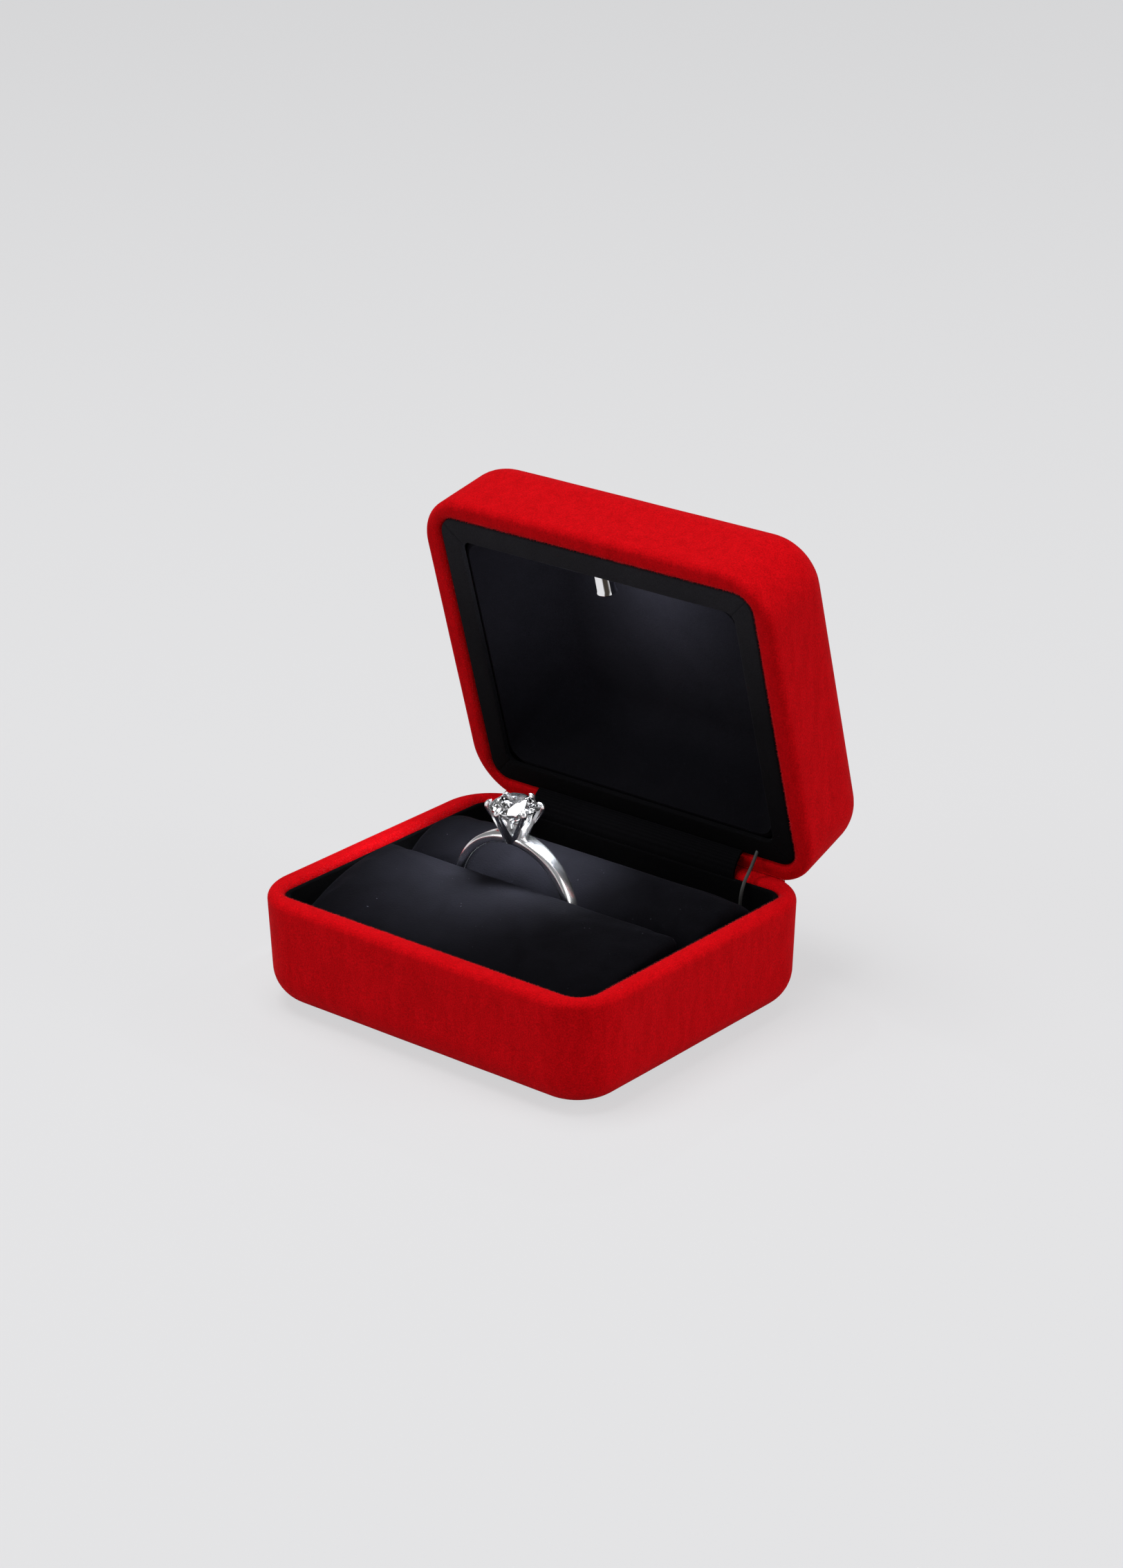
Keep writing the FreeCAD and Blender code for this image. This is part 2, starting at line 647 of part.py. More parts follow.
def on_open_lid(y, z):
    """Where a point of the closed lid stands, as (y, z), when the lid is open."""
    turn = math.radians(OPEN_ANGLE)
    along = y - HINGE_Y
    up = z - HINGE_Z
    open_y = HINGE_Y + along * math.cos(turn) + up * math.sin(turn)
    open_z = HINGE_Z - along * math.sin(turn) + up * math.cos(turn)
    return open_y, open_z


def hinge_lead():
    """Free stretch of the lead that crosses the hinge, shown with the lid open."""
    start = V(LEAD_X, LEAD_Y, LEAD_JOIN_Z)
    turn = math.radians(OPEN_ANGLE)
    end = V(LEAD_X, *on_open_lid(LEAD_ENTRY_Y, LID_Z + LEAD_DEPTH - 2 * LEAD_R))
    inward = V(0, math.sin(turn), math.cos(turn))
    knee = end - inward * ((end.y - LEAD_Y) / inward.y)
    return tube([start, knee, end], LEAD_R, LEAD_KNEE_R)


def lid_lead():
    """Stretch of the lead inside the lid, round the tray to the lamp."""
    z = LID_Z + LEAD_DEPTH
    side_x = BOX_W / 2 - LEAD_IN
    front_y = -(BOX_D / 2 - LEAD_IN)
    points = [
        V(LEAD_X - LEAD_R, LEAD_ENTRY_Y, z),
        V(side_x, LEAD_ENTRY_Y, z),
        V(side_x, front_y, z),
        V(LAMP_PIN_PITCH / 2 + LAMP_PIN_R + LEAD_R, front_y, z),
    ]
    return opened(tube(points, LEAD_R, PLAN_R - LEAD_IN))


def hinge_ribbon():
    """Black ribbon from the base's collar to the lid's border, in front of the hinge."""
    half_t = RIBBON_T / 2
    low = V(0, BOX_D / 2 - LINER_OUT_IN - LINER_T / 2, BASE_H - LINER_SET_DOWN + GLUE)
    lap_y = BOX_D / 2 - LINER_OUT_IN - RIBBON_LAP
    high = V(0, *on_open_lid(lap_y, BORDER_Z - half_t - GLUE))
    chord = (high - low).normalize()
    bulge = V(0, -chord.z, chord.y)
    middle = (low + high) / 2 + bulge * RIBBON_BULGE
    level = V(0, -half_t, 0)
    top = bulge * half_t
    edges = [
        Part.Arc(low + level, middle + bulge * half_t, high + top).toShape(),
        Part.LineSegment(high + top, high - top).toShape(),
        Part.Arc(high - top, middle - bulge * half_t, low - level).toShape(),
        Part.LineSegment(low - level, low + level).toShape(),
    ]
    half_l = HINGE_L / 2 + RIBBON_OVER
    ribbon = Part.Face(Part.Wire(edges)).extrude(V(2 * half_l, 0, 0))
    ribbon.translate(V(-half_l, 0, 0))
    return ribbon


def knuckle_spans():
    """Start and end of each knuckle along X."""
    pitch = (HINGE_L + KNUCKLE_GAP) / KNUCKLES
    starts = [-HINGE_L / 2 + index * pitch for index in range(KNUCKLES)]
    return [(x, x + pitch - KNUCKLE_GAP) for x in starts]


def hinge_leaf(spans, bore_r):
    """Steel leaf below the hinge line, with straps up to its own knuckles."""
    leaf_y = BOX_D / 2 - BEAD_IN - LEAF_T - GLUE
    strap_z = HINGE_Z - KNUCKLE_R
    pieces = [
        box(-HINGE_L / 2, HINGE_L / 2, leaf_y, leaf_y + LEAF_T, HINGE_Z - LEAF_H, strap_z + LEAF_T)
    ]
    for x0, x1 in spans:
        pieces.append(box(x0, x1, leaf_y, HINGE_Y, strap_z, strap_z + LEAF_T))
        pieces.append(rod(KNUCKLE_R, V(x0, HINGE_Y, HINGE_Z), V(x1, HINGE_Y, HINGE_Z)))
    bore = rod(bore_r, V(-BOX_W, HINGE_Y, HINGE_Z), V(BOX_W, HINGE_Y, HINGE_Z))
    return fused(pieces).cut(bore)


def hinge_pin():
    """Pin through all the knuckles."""
    return rod(PIN_R, V(-HINGE_L / 2, HINGE_Y, HINGE_Z), V(HINGE_L / 2, HINGE_Y, HINGE_Z))


def lid_cover():
    """Velvet skin of the lid."""
    return opened(clear_of_hinge(turned_over(half_cover(LID_H, LID_EDGE_R, LID_TAPER), LID_Z), True))


def lid_shell():
    """Moulded lid."""
    return opened(clear_of_hinge(turned_over(half_shell(LID_H, LID_EDGE_R, LID_TAPER), LID_Z), True))


def lamp_hole():
    """Hole for the lamp's sleeve, on the closed lid."""
    return rod(BEZEL_R + GLUE, V(0, -BOX_D, LAMP_Z), V(0, 0, LAMP_Z))


def lid_border():
    """Black flat frame just inside the lid's rim, with a hole for the lead."""
    frame = mouth(LINER_OUT_IN, BORDER_Z, BORDER_Z + LINER_T)
    frame = frame.cut(well(BORDER_IN, BORDER_Z - TINY, BEYOND))
    entry = V(LEAD_X, LEAD_ENTRY_Y, BORDER_Z - TINY)
    lead_hole = rod(LEAD_R + SHELF_CLEAR, entry, entry + V(0, 0, 2 * LINER_T))
    return opened(frame.cut(lead_hole))


def tray_block(grow, z0, z1):
    """Tapered block of the lid's recess, wider all round by a growth, with a rounded floor."""
    outlines = []
    for z, inset, radius in ((z0, TRAY_IN, TRAY_MOUTH_R), (z1, TRAY_IN + TRAY_SLOPE, TRAY_CORNER_R)):
        inset -= grow
        outlines.append(rounded_rect(BOX_W - 2 * inset, BOX_D - 2 * inset, radius + grow, z))
    block = Part.makeLoft(outlines, True, True)
    floor_edges = [edge for edge in block.Edges if edge.BoundBox.ZMin > z1 - TINY]
    return block.makeFillet(TRAY_FLOOR_R + grow, floor_edges)


def lid_tray():
    """Black flocked tray that lines the lid: sloping sides and a flat panel."""
    inside = tray_block(0, TRAY_Z, TRAY_TOP_Z - TRAY_T)
    tray = tray_block(TRAY_T, TRAY_Z, TRAY_TOP_Z).cut(inside)
    return opened(tray.cut(lamp_hole()))


def lamp_bezel():
    """Bright sleeve round the lamp, through the lining's front wall."""
    sleeve = rod(BEZEL_R, V(0, BEZEL_BACK_Y, LAMP_Z), V(0, BEZEL_FRONT_Y, LAMP_Z))
    lip = rod(BEZEL_LIP_R, V(0, BEZEL_FRONT_Y - BEZEL_LIP_T, LAMP_Z), V(0, BEZEL_FRONT_Y, LAMP_Z))
    bore = rod(LAMP_R + BEZEL_PLAY, V(0, -BOX_D, LAMP_Z), V(0, 0, LAMP_Z))
    return opened(fused([sleeve, lip]).cut(bore))


def lamp_bulb():
    """Round-nosed lamp that points along the lid, at the slot."""
    nose_y = BEZEL_FRONT_Y + LAMP_TIP - LAMP_R
    body = rod(LAMP_R, V(0, BEZEL_BACK_Y - LAMP_FLANGE_T, LAMP_Z), V(0, nose_y, LAMP_Z))
    nose = Part.makeSphere(LAMP_R, V(0, nose_y, LAMP_Z))
    flange_start = V(0, BEZEL_BACK_Y - LAMP_FLANGE_T - GLUE, LAMP_Z)
    flange = rod(LAMP_FLANGE_R, flange_start, V(0, BEZEL_BACK_Y - GLUE, LAMP_Z))
    return opened(fused([body, nose, flange]))


def lamp_pins():
    """Two stiff legs of the lamp."""
    y1 = BEZEL_BACK_Y - LAMP_FLANGE_T - GLUE
    pins = []
    for side in (-1, 1):
        x = side * LAMP_PIN_PITCH / 2
        pins.append(rod(LAMP_PIN_R, V(x, y1 - LAMP_PIN_L, LAMP_Z), V(x, y1, LAMP_Z)))
    return opened(Part.makeCompound(pins))


def head_cone(grow):
    """Outside of the ring's head as a plain cone."""
    return Part.makeCone(HEAD_FOOT_R + grow, HEAD_TOP_R + grow, HEAD_H, V(RING_X, SLOT_Y, HEAD_Z), Z_DIR)


def ring_band():
    """Band of the ring, with a crowned outer face, notched for its head."""
    half = BAND_W / 2
    half_edge = BAND_EDGE_W / 2
    x = RING_X
    outer_edge = RING_R - (half - half_edge) / 2
    points = [
        V(x, SLOT_Y - half, RING_Z + RING_BORE_R),
        V(x, SLOT_Y + half, RING_Z + RING_BORE_R),
        V(x, SLOT_Y + half_edge, RING_Z + outer_edge),
        V(x, SLOT_Y, RING_Z + RING_R),
        V(x, SLOT_Y - half_edge, RING_Z + outer_edge),
    ]
    edges = [
        Part.LineSegment(points[0], points[1]).toShape(),
        Part.LineSegment(points[1], points[2]).toShape(),
        Part.Arc(points[2], points[3], points[4]).toShape(),
        Part.LineSegment(points[4], points[0]).toShape(),
    ]
    band = Part.Face(Part.Wire(edges)).revolve(V(x, SLOT_Y, RING_Z), Y_DIR, 360)
    return band.cut(head_cone(GLUE))


def claw_point(index, share, grow):
    """Point on a claw's line, a share of the way up the head's cone."""
    angle = 2 * math.pi * index / CLAWS + math.radians(HEAD_TURN)
    radius = HEAD_FOOT_R + (HEAD_TOP_R - HEAD_FOOT_R) * share + grow
    z = HEAD_Z + HEAD_H * share
    return V(RING_X + radius * math.cos(angle), SLOT_Y + radius * math.sin(angle), z)


def head_window(index):
    """Pointed opening in the cup between two claws, taken past its rim."""
    foot_z = HEAD_Z + WINDOW_FOOT_SHARE * HEAD_H
    rise = HEAD_Z + HEAD_H - foot_z
    half = WINDOW_W / 2 * (rise + CUP_T) / rise
    top_z = foot_z + rise + CUP_T
    corners = [V(CUP_T, 0, foot_z), V(CUP_T, half, top_z), V(CUP_T, -half, top_z), V(CUP_T, 0, foot_z)]
    window = Part.Face(Part.makePolygon(corners)).extrude(V(HEAD_TOP_R + CUP_T, 0, 0))
    window.rotate(V(0, 0, 0), Z_DIR, (index + 0.5) * 360 / CLAWS + HEAD_TURN)
    window.translate(V(RING_X, SLOT_Y, 0))
    return window


def head_cup():
    """Hollow cone with a window between each pair of claws."""
    slope = (HEAD_TOP_R - HEAD_FOOT_R) / HEAD_H
    foot_h = HEAD_FOOT_SHARE * HEAD_H
    height = HEAD_H - foot_h + CUP_T
    low_r = HEAD_FOOT_R + slope * foot_h - CUP_T
    hollow = Part.makeCone(low_r, low_r + slope * height, height, V(RING_X, SLOT_Y, HEAD_Z + foot_h), Z_DIR)
    cup = head_cone(0).cut(hollow)
    for index in range(CLAWS):
        cup = cup.cut(head_window(index))
    return cup


def ring_head():
    """Claw setting: a pierced cup and claws that stand over the stone."""
    pieces = [head_cup()]
    for index in range(CLAWS):
        low = claw_point(index, CLAW_START_SHARE, -CLAW_R / 2)
        high = claw_point(index, 1.0, CLAW_R)
        tip = high + V(0, 0, CLAW_PROUD)
        pieces.append(rod(CLAW_R, low, high))
        pieces.append(Part.makeSphere(CLAW_R, high))
        pieces.append(rod(CLAW_R, high, tip))
        pieces.append(Part.makeSphere(CLAW_R, tip))
    return fused(pieces).cut(stone_blank(STONE_SEAT_GAP))


def stone_girdle_z():
    """Level of the stone's widest edge."""
    return HEAD_Z + HEAD_H + STONE_GIRDLE_T


def stone_blank(grow):
    """Round outside of the stone: a crown, a thin girdle and a pavilion."""
    z = stone_girdle_z()
    radius = STONE_R + grow
    centre = V(RING_X, SLOT_Y, z)
    pavilion = Part.makeCone(0, radius, STONE_PAVILION_H, centre - V(0, 0, STONE_PAVILION_H), Z_DIR)
    girdle = Part.makeCylinder(radius, STONE_GIRDLE_T, centre, Z_DIR)
    crown_base = centre + V(0, 0, STONE_GIRDLE_T)
    crown = Part.makeCone(radius, radius * STONE_TABLE, STONE_CROWN_H, crown_base, Z_DIR)
    return fused([pavilion, girdle, crown])


def ring_stone():
    """Faceted stone: the round blank cut by flats above and below the girdle."""
    centre_z = stone_girdle_z()
    top_z = centre_z + STONE_GIRDLE_T + STONE_CROWN_H
    inner = STONE_R * math.cos(math.pi / STONE_SIDES)

    def polygon(radius, z):
        turn = 2 * math.pi / STONE_SIDES
        points = []
        for index in range(STONE_SIDES + 1):
            angle = (index + 0.5) * turn
            points.append(V(RING_X + radius * math.cos(angle), SLOT_Y + radius * math.sin(angle), z))
        return Part.makePolygon(points)

    table = polygon(STONE_R * STONE_TABLE, top_z)
    girdle_top = polygon(STONE_R, centre_z + STONE_GIRDLE_T)
    girdle_low = polygon(STONE_R, centre_z)
    culet = polygon(STONE_CULET_R, centre_z - STONE_PAVILION_H * inner / STONE_R)
    return Part.makeLoft([culet, girdle_low, girdle_top, table], True, True)


def pieces():
    """Every piece of the box by its name."""
    spans = knuckle_spans()
    base_leaf = hinge_leaf(spans[0::2], PIN_R + PIN_FIT)
    lid_leaf = opened(mirrored_at_hinge(hinge_leaf(spans[1::2], PIN_R + PIN_PLAY)))
    return {
        "base_shell": base_shell(),
        "base_cover": base_cover(),
        "bottom_sheet": bottom_sheet(),
        "base_liner": base_liner(),
        "front_pad": front_pad(),
        "rear_pad": rear_pad(),
        "pad_shelf": pad_shelf(),
        "battery_holder": battery_holder(),
        "button_cells": button_cells(),
        "contact_bridge": contact_bridge(0),
        "contact_positive": positive_strip(0),
        "contact_negative": negative_strip(0),
        "battery_hatch": battery_hatch(),
        "hatch_screw": hatch_screw(),
        "circuit_board": circuit_board(),
        "resistor": resistor(),
        "switch_body": switch_body(),
        "switch_plunger": switch_plunger(),
        "base_lead": base_lead(),
        "hinge_lead": hinge_lead(),
        "lid_lead": lid_lead(),
        "hinge_leaf_base": base_leaf,
        "hinge_leaf_lid": lid_leaf,
        "hinge_pin": hinge_pin(),
        "lid_shell": lid_shell(),
        "lid_cover": lid_cover(),
        "lid_border": lid_border(),
        "lid_tray": lid_tray(),
        "hinge_ribbon": hinge_ribbon(),
        "lamp_bezel": lamp_bezel(),
        "lamp_bulb": lamp_bulb(),
        "lamp_pins": lamp_pins(),
        "ring_band": ring_band(),
        "ring_head": ring_head(),
        "ring_stone": ring_stone(),
    }


def main():
    """Write one STEP file for each piece."""
    os.makedirs("parts", exist_ok=True)
    for name, shape in pieces().items():
        if not shape.isValid():
            print("invalid:", name)
        print(name, len(shape.Solids), round(shape.Volume, 2))
        shape.exportStep("parts/" + name + ".step")


if __name__ == "__main__":
    main()
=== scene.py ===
"""Dresses the lit ring box: velvet halves, padded slot, lined lid, lamp, ring and studio."""
from __future__ import annotations

import json
import logging
import math
import random
from dataclasses import dataclass, field
from enum import Enum
from functools import partial
from typing import Callable, Sequence

import bmesh
import bpy
from bpy.types import Curve, Material, Mesh, Node, NodeSocket, Object
from mathutils import Matrix, Vector

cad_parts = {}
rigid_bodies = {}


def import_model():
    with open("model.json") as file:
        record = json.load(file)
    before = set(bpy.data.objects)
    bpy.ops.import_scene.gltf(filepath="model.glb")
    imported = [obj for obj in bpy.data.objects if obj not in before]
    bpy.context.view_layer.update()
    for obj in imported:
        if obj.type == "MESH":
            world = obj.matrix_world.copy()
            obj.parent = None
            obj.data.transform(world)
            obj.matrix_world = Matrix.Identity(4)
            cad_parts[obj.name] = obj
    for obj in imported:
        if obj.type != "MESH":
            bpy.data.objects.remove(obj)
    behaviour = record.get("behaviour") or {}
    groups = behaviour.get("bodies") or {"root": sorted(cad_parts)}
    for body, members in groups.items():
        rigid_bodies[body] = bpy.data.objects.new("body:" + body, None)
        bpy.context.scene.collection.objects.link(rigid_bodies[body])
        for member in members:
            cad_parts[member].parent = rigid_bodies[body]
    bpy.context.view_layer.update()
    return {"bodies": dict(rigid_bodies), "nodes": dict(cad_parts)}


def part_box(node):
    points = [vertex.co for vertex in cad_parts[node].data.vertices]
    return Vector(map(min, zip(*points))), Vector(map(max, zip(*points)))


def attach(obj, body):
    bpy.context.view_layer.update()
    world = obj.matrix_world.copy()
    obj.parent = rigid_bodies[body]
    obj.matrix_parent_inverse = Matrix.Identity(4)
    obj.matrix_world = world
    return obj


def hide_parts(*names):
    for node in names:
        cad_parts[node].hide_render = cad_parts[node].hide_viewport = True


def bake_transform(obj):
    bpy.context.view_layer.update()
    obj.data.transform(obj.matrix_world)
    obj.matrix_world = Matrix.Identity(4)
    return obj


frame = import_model()

LOG = logging.getLogger("ring_box")
MM = 0.001
SLACK = 0.001  # millimetres within which two levels count as one
WELD = 0.0005  # millimetres within which two points are merged

Colour = tuple[float, float, float]
Point = tuple[float, float, float]
Step = tuple[float, float]
Section = tuple[float, float, float, float]
Fibre = tuple[Vector, Vector, float]


class Body(Enum):
    """The bodies that pieces ride on."""

    BASE = "base"
    LID = "lid"
    RING = "ring"


class Half(Enum):
    """The two halves of the box, each with the side its hinge is on while it lies mouth up."""

    BASE = 1
    LID = -1

    @property
    def body(self) -> Body:
        """The body that this half's pieces ride on."""
        return Body.BASE if self is Half.BASE else Body.LID


def grey(value: float) -> Colour:
    """Neutral colour."""
    return (value, value, value)


# ---------------------------------------------------------------- finishes


class Shader:
    """Node sheet of one material, with the few patterns that the finishes share."""

    def __init__(self, name: str) -> None:
        """Start a material.

        Args:
            name: the material's name.
        """
        self.material = bpy.data.materials.new(name)
        self.material.use_nodes = True
        self.nodes = self.material.node_tree.nodes
        self.links = self.material.node_tree.links
        self.bsdf = self.nodes["Principled BSDF"]
        self.place = self.nodes.new("ShaderNodeTexCoord").outputs["Object"]

    def plain(self, **sockets: float | Colour) -> None:
        """Set constant sockets.

        Args:
            sockets: values by socket name, with underscores for spaces.
        """
        for name, value in sockets.items():
            socket = self.bsdf.inputs[name.replace("_", " ")]
            socket.default_value = (*value, 1.0) if isinstance(value, tuple) else value

    def wire(self, source: NodeSocket, name: str) -> None:
        """Link a pattern to one of the shader's sockets."""
        self.links.new(source, self.bsdf.inputs[name])

    def node(self, kind: str, inputs: dict[str | int, object]) -> Node:
        """Add a node.

        Args:
            kind: its type, without the usual prefix.
            inputs: what its sockets get. A socket is linked, any other value is set.

        Returns:
            The node.
        """
        node = self.nodes.new("ShaderNode" + kind)
        for name, value in inputs.items():
            if isinstance(value, NodeSocket):
                self.links.new(value, node.inputs[name])
            else:
                node.inputs[name].default_value = value
        return node

    def noise(self, size: float, detail: float = 2.0, stretch: Colour = (1, 1, 1), twist: float = 0.0) -> NodeSocket:
        """Cloudy pattern.

        Args:
            size: width of one cloud in millimetres.
            detail: octaves of finer clouds.
            stretch: how much finer the pattern is along each axis.
            twist: distortion of the clouds.

        Returns:
            The pattern's value socket.
        """
        mapped = self.node("Mapping", {"Scale": stretch, "Vector": self.place}).outputs["Vector"]
        clouds = {"Scale": 1.0 / (size * MM), "Detail": detail, "Distortion": twist, "Vector": mapped}
        return self.node("TexNoise", clouds).outputs["Fac"]

    def wave(self, pitch: float, turn: Point = (0, 0, 0), waver: float = 0.0, start: float = 0.0) -> NodeSocket:
        """Even bands across the X axis.

        Args:
            pitch: width of one band in millimetres.
            turn: turn of the bands about each axis, in degrees.
            waver: unevenness of the bands.
            start: where the first band starts, in radians.

        Returns:
            The pattern's value socket.
        """
        angles = [math.radians(angle) for angle in turn]
        mapped = self.node("Mapping", {"Rotation": angles, "Vector": self.place}).outputs["Vector"]
        scale = math.pi / (10.0 * pitch * MM)
        bands = {"Scale": scale, "Distortion": waver, "Phase Offset": start, "Vector": mapped}
        return self.node("TexWave", bands).outputs["Fac"]

    def height(self, low: float, high: float) -> NodeSocket:
        """Share of the way up between two heights in millimetres."""
        level = self.node("SeparateXYZ", {"Vector": self.place}).outputs["Z"]
        limits = {"From Min": low * MM, "From Max": high * MM, "Value": level}
        return self.node("MapRange", limits).outputs["Result"]

    def ramp(self, value: NodeSocket, stops: Sequence[tuple[float, Colour]]) -> NodeSocket:
        """Colours by value.

        Args:
            value: what drives the colour.
            stops: place and colour of each stop, in order.

        Returns:
            The colour socket.
        """
        node = self.node("ValToRGB", {"Fac": value})
        elements = node.color_ramp.elements
        while len(elements) < len(stops):
            elements.new(0.5)
        for element, (place, colour) in zip(elements, stops):
            element.position = place
            element.color = (*colour, 1.0)
        return node.outputs["Color"]

    def blend(self, mode: str, first: NodeSocket, second: NodeSocket) -> NodeSocket:
        """Two patterns in one.

        Args:
            mode: blend type, such as MULTIPLY or ADD.
            first: the pattern below.
            second: the pattern on top.

        Returns:
            The colour socket.
        """
        node = self.nodes.new("ShaderNodeMix")
        node.data_type = "RGBA"
        node.blend_type = mode
        node.inputs["Factor"].default_value = 1.0
        self.links.new(first, node.inputs["A"])
        self.links.new(second, node.inputs["B"])
        return node.outputs["Result"]

    def spread(self, value: NodeSocket, low: float, high: float) -> NodeSocket:
        """A pattern's values moved to a new range."""
        return self.node("MapRange", {"To Min": low, "To Max": high, "Value": value}).outputs["Result"]

    def bump(self, height: NodeSocket, depth: float, strength: float, below: NodeSocket | None = None) -> NodeSocket:
        """Surface relief from a pattern.

        Args:
            height: the pattern.
            depth: relief in millimetres.
            strength: share of the relief that shows.
            below: normal of a coarser relief.

        Returns:
            The normal socket.
        """
        relief: dict[str | int, object] = {"Strength": strength, "Distance": depth * MM, "Height": height}
        if below is not None:
            relief["Normal"] = below
        return self.node("Bump", relief).outputs["Normal"]


@dataclass(frozen=True)
class Velvet:
    """Short cut pile: brushed patches, fine tips and a soft edge glow."""

    name: str
    bright: Colour
    deep: Colour
    glow: Colour
    glow_weight: float
    nap: float = 7.0
    tip: float = 0.22
    lint: float = 0.0
    comb: Colour = (1, 1, 1)
    # painted light and shade: colour scaled by height, darker low down and lighter high up
    painted_light_by_height: tuple[float, float, float] | None = None
    painted_light_span: tuple[float, float] = (20.0, 66.0)

    def material(self) -> Material:
        """Make the velvet's material."""
        shader = Shader(self.name)
        patches = shader.noise(self.nap, 3.0, stretch=self.comb, twist=0.7)
        tips = shader.noise(self.tip, 3.0)
        colour = shader.ramp(patches, [(0.3, self.deep), (0.68, self.bright)])
        shade = shader.ramp(tips, [(0.25, grey(0.62)), (0.7, grey(1.1))])
        colour = shader.blend("MULTIPLY", colour, shade)
        # painted light and shade: the colour is multiplied by a ramp over height, darker low down and lighter high up
        if self.painted_light_by_height:
            wear_and_painted_light = [(place, grey(value)) for place, value in zip((0.0, 0.5, 1.0), self.painted_light_by_height)]
            colour = shader.blend("MULTIPLY", colour, shader.ramp(shader.height(*self.painted_light_span), wear_and_painted_light))
        if self.lint:
            flecks = shader.noise(0.5, 1.0, stretch=(1.0, 1.7, 1.3))
            bare = 1.0 - self.lint
            dust = shader.ramp(flecks, [(bare, grey(0.0)), (bare + 0.02, (0.09, 0.09, 0.11))])
            colour = shader.blend("ADD", colour, dust)
        shader.wire(colour, "Base Color")
        shader.wire(shader.spread(tips, 0.72, 1.0), "Roughness")
        swell = shader.bump(patches, 0.2, 0.12)
        shader.wire(shader.bump(tips, 0.12, 0.55, swell), "Normal")
        shader.plain(
            Specular_IOR_Level=0.03, Sheen_Weight=self.glow_weight, Sheen_Roughness=0.38, Sheen_Tint=self.glow
        )
        return shader.material


@dataclass(frozen=True)
class Felt:
    """Pressed fibres, matt and slightly mottled."""

    name: str
    light: Colour
    dark: Colour

    def material(self) -> Material:
        """Make the felt's material."""
        shader = Shader(self.name)
        strands = shader.noise(0.5, 4.0, stretch=(1.0, 2.6, 1.0), twist=1.4)
        clumps = shader.noise(2.4, 2.0)
        colour = shader.blend(
            "MULTIPLY",
            shader.ramp(strands, [(0.3, self.dark), (0.7, self.light)]),
            shader.ramp(clumps, [(0.3, grey(0.75)), (0.7, grey(1.0))]),
        )
        shader.wire(colour, "Base Color")
        shader.wire(shader.spread(strands, 0.8, 1.0), "Roughness")
        shader.wire(shader.bump(strands, 0.1, 0.6), "Normal")
        shader.plain(Specular_IOR_Level=0.15, Sheen_Weight=0.25, Sheen_Roughness=0.5, Sheen_Tint=(0.8, 0.8, 0.85))
        return shader.material


@dataclass(frozen=True)
class Woven:
    """Ribbon with a fine plain weave."""

    name: str
    light: Colour
    dark: Colour
    pitch: float = 0.28

    def material(self) -> Material:
        """Make the ribbon's material."""
        shader = Shader(self.name)
        warp = shader.wave(self.pitch, waver=0.3)
        weft = shader.wave(self.pitch, turn=(0, 0, 90), waver=0.3)
        weave = shader.blend("MULTIPLY", warp, weft)
        shader.wire(shader.ramp(weave, [(0.1, self.dark), (0.7, self.light)]), "Base Color")
        shader.wire(shader.spread(weave, 0.8, 0.55), "Roughness")
        shader.wire(shader.bump(weave, 0.02, 0.3), "Normal")
        shader.plain(Specular_IOR_Level=0.03, Sheen_Weight=0.01, Sheen_Roughness=0.4, Sheen_Tint=(0.7, 0.7, 0.8))
        return shader.material


@dataclass(frozen=True)
class Metal:
    """Bare metal, polished or satin, with fine wear, or with bands of painted reflection along it."""

    name: str
    colour: Colour
    shade: Colour
    smooth: float
    wear_and_painted_light: float
    grain: Colour = (1, 1, 1)
    # pitch in millimetres of painted reflection bands, light and dark, in the base colour; 0 for none
    painted_band_pitch_and_inset: float = 0.0

    def material(self) -> Material:
        """Make the metal's material."""
        shader = Shader(self.name)
        haze = shader.noise(1.6, 3.0, stretch=self.grain)
        lines = shader.noise(0.12, 2.0, stretch=self.grain)
        if self.painted_band_pitch_and_inset:
            # painted reflection: light and dark bands across X stand for the chrome's highlights and its dark streak
            bands = shader.wave(self.painted_band_pitch_and_inset, start=math.pi)
            shader.wire(shader.ramp(bands, [(0.1, self.shade), (0.3, self.colour)]), "Base Color")
        else:
            shader.wire(shader.ramp(haze, [(0.3, self.shade), (0.65, self.colour)]), "Base Color")
        shader.wire(shader.spread(haze, self.smooth, self.wear_and_painted_light), "Roughness")
        shader.wire(shader.bump(lines, 0.004, 0.25), "Normal")
        shader.plain(Metallic=1.0)
        return shader.material


@dataclass(frozen=True)
class Moulded:
    """Moulded plastic or lacquer with a slight grain."""

    name: str
    colour: Colour
    shade: Colour
    smooth: float = 0.4
    wear_and_painted_light: float = 0.6
    grain: float = 0.3
    bands: float = 0.0

    def material(self) -> Material:
        """Make the plastic's material."""
        shader = Shader(self.name)
        cloud = shader.noise(3.0, 3.0)
        grain = shader.noise(self.grain, 2.0)
        colour = shader.ramp(cloud, [(0.3, self.shade), (0.7, self.colour)])
        if self.bands:
            ringed = shader.wave(self.bands)
            colour = shader.blend("MULTIPLY", colour, shader.ramp(ringed, [(0.6, grey(1.0)), (0.75, (0.3, 0.16, 0.1))]))
        shader.wire(colour, "Base Color")
        shader.wire(shader.spread(cloud, self.smooth, self.wear_and_painted_light), "Roughness")
        shader.wire(shader.bump(grain, 0.02, 0.3), "Normal")
        return shader.material


